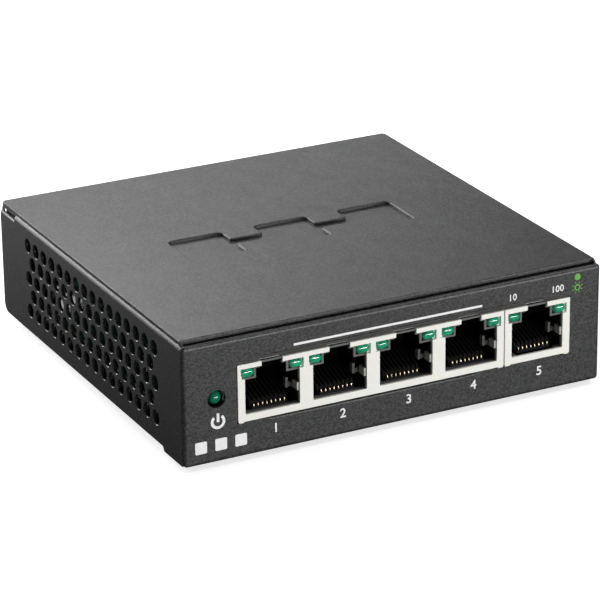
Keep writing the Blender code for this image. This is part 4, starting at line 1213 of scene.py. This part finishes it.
def numeral(text, middle, height, bold=0.045):
    """A plain printed number, standing on the front panel."""
    curve = bpy.data.curves.new("numeral", "FONT")
    curve.body = text
    curve.size = height / 0.7
    curve.extrude = (INK[1] - INK[0]) / 2
    curve.offset = bold
    curve.align_x = "CENTER"
    curve.align_y = "CENTER"
    curve.space_character = 1.05
    thing = bpy.data.objects.new("numeral", curve)
    bpy.context.collection.objects.link(thing)
    graph = bpy.context.evaluated_depsgraph_get()
    data = bpy.data.meshes.new_from_object(thing.evaluated_get(graph))
    bpy.data.objects.remove(thing)
    data.transform(Matrix.Translation((middle[0], sum(INK) / 2,
                                       middle[1])) @ Matrix.Rotation(pi / 2, 4, "X"))
    return data


def panel_marks():
    marks = bmesh.new()
    for number in PORTS:
        x = PORT_X[number] + 0.7
        marks.from_mesh(numeral(str(number), (x, FRAME_Z0 - 3.0), 2.05))
    marks.from_mesh(numeral("10", (28.0, BLOCK_TOP + 2.5), 1.45, 0.03))
    marks.from_mesh(numeral("100", (39.2, BLOCK_TOP + 2.4), 1.45, 0.03))
    lamp = middle_of("power_lamp")
    x, z = lamp.x + 0.2, lamp.z - 5.05
    add_track(marks, arc((x, z), 1.35, range(52, -228, -9)), 0.62, "Y", *INK)
    add_track(marks, [(x, z - 0.1), (x, z + 1.85)], 0.6, "Y", *INK)
    add_track(marks, [(-24.5, BLOCK_TOP + 2.1), (20.5, BLOCK_TOP + 2.1)], 0.5, "Y", *INK)
    for k in range(3):
        square = -46.2 + 4.6 * k
        add_block(marks, (square - 1.35, INK[0], BASE_Z + 2.6), (square + 1.35, INK[1], BASE_Z + 5.3), 0,
                  0.3, "Y")
    place_piece(marks, "panel_marks", WHITE_INK)
    dots = bmesh.new()
    dot_x, dot_z = 44.2, PANEL_TOP_Z - 1.95
    add_turned(dots, "Y", (dot_x, dot_z), ((0.75, INK[0]), (0.75, INK[1])), 32)
    ring_z = dot_z - 2.4
    add_track(dots, arc((dot_x, ring_z), 0.6, range(0, 361, 12)), 0.28, "Y", *INK)
    rays = [22.5 + 45 * k for k in range(8)]
    for ends in zip(arc((dot_x, ring_z), 0.95, rays), arc((dot_x, ring_z), 1.35, rays)):
        add_track(dots, ends, 0.2, "Y", *INK)
    place_piece(dots, "panel_dots", GREEN_INK)


# --- studio -------------------------------------------------------------------
FLOOR_BOUNCE = 0.25                 # share of the floor's tone in the light it throws back
FLOOR_GLOW = 0.72                   # added to the floor for the camera only
WORLD_SEEN = 1.05
WORLD_LIGHT = 0.07
# Softboxes: compass angle from +X, elevation, distance, size and power.
LIGHTS = {
    "back_left": (117, 18, 1200, (700, 300), 3.6),
    "back": (100, 15, 900, (500, 150), 2.6),
    "back_right": (70, 22, 900, (400, 150), 0.65),
    "near_back": (100, 50, 250, (150, 100), 0.25),
    "front": (272, 3, 1100, (800, 100), 5.2),
    "front_right": (300, 3.5, 1100, (500, 110), 5.0),
    "horizon": (65, 6, 900, (400, 110), 0.06),
    "near_left": (132, 14, 190, (80, 60), 0.06),
    "right": (0, 50, 900, (500, 400), 0.3),
    "edge_light": (330, 55, 900, (350, 200), 1.9),
}


def softbox(name, place, aim, size, power):
    data = bpy.data.lights.new(name, "AREA")
    data.shape = "RECTANGLE"
    data.size, data.size_y = (value * MM for value in size)
    data.energy = power
    thing = bpy.data.objects.new(name, data)
    thing.location = Vector(place) * MM
    thing.rotation_euler = (Vector(aim) - Vector(place)).to_track_quat("-Z", "Y").to_euler()
    bpy.context.collection.objects.link(thing)


def seen_and_lit(material, seen, lit):
    """One value for what the camera sees and another for the light that is thrown."""
    add = node_maker(material)
    return add("MapRange", {0: add("LightPath").outputs["Is Camera Ray"], 3: lit, 4: seen}).outputs[0]


def studio():
    half = 4000
    floor = as_object(add_block(bmesh.new(), (-half, -half, -20), (half, half, 0)), "floor")
    floor.data.transform(Matrix.Scale(MM, 4))
    shader = FLOOR.node_tree.nodes["Principled BSDF"]
    tone = shader.inputs["Base Color"].links[0].from_socket
    share = seen_and_lit(FLOOR, 1.0, FLOOR_BOUNCE)
    dimmed = node_maker(FLOOR)("VectorMath", {0: tone, 3: share}, operation="SCALE").outputs[0]
    link = FLOOR.node_tree.links.new
    link(dimmed, shader.inputs["Base Color"])
    link(seen_and_lit(FLOOR, FLOOR_GLOW, 0.0), shader.inputs["Emission Strength"])
    shader.inputs["Emission Color"].default_value = (1, 1, 1, 1)
    floor.data.materials.append(FLOOR)
    world = bpy.data.worlds.new("studio")
    world.use_nodes = True
    backdrop = world.node_tree.nodes["Background"]
    backdrop.inputs["Color"].default_value = (1, 1, 1, 1)
    world.node_tree.links.new(seen_and_lit(world, WORLD_SEEN, WORLD_LIGHT), backdrop.inputs["Strength"])
    bpy.context.scene.world = world
    for name, (compass, elevation, distance, size, power) in LIGHTS.items():
        turn, lift = radians(compass), radians(elevation)
        place = Vector((cos(turn) * cos(lift), sin(turn) * cos(lift), sin(lift))) * distance
        softbox(name, place, (0, 0, 15), size, power)
    bpy.context.scene.view_settings.view_transform = "Standard"


def camera():
    az, el, roll = CAMERA_AZIMUTH, CAMERA_ELEVATION, CAMERA_ROLL
    back = Vector((sin(az) * cos(el), -cos(az) * cos(el), sin(el)))
    right = (-back).cross(Vector((0, 0, 1))).normalized()
    up = back.cross(right)
    tilted_right = right * cos(roll) - up * sin(roll)
    tilted_up = right * sin(roll) + up * cos(roll)
    data = bpy.data.cameras.new("camera")
    data.lens = CAMERA_LENS
    data.clip_start = 0.05
    thing = bpy.data.objects.new("camera", data)
    axes = Matrix((tilted_right, tilted_up, back)).transposed().to_4x4()
    thing.matrix_world = Matrix.Translation(Vector(CAMERA_PLACE) * MM) @ axes
    bpy.context.collection.objects.link(thing)
    bpy.context.scene.camera = thing


top_cover()
base_tray()
rubber_feet()
screws()
circuit_board()
chips()
capacitors()
crystal()
inductor()
board_tracks()
small_parts()
board_ink()
port_block("port_block_1_to_4", PORTS[:4])
port_block("port_block_5", PORTS[4:])
port_inserts()
port_lamps()
port_contacts()
power_lamp()
power_socket()
panel_marks()
studio()
camera()
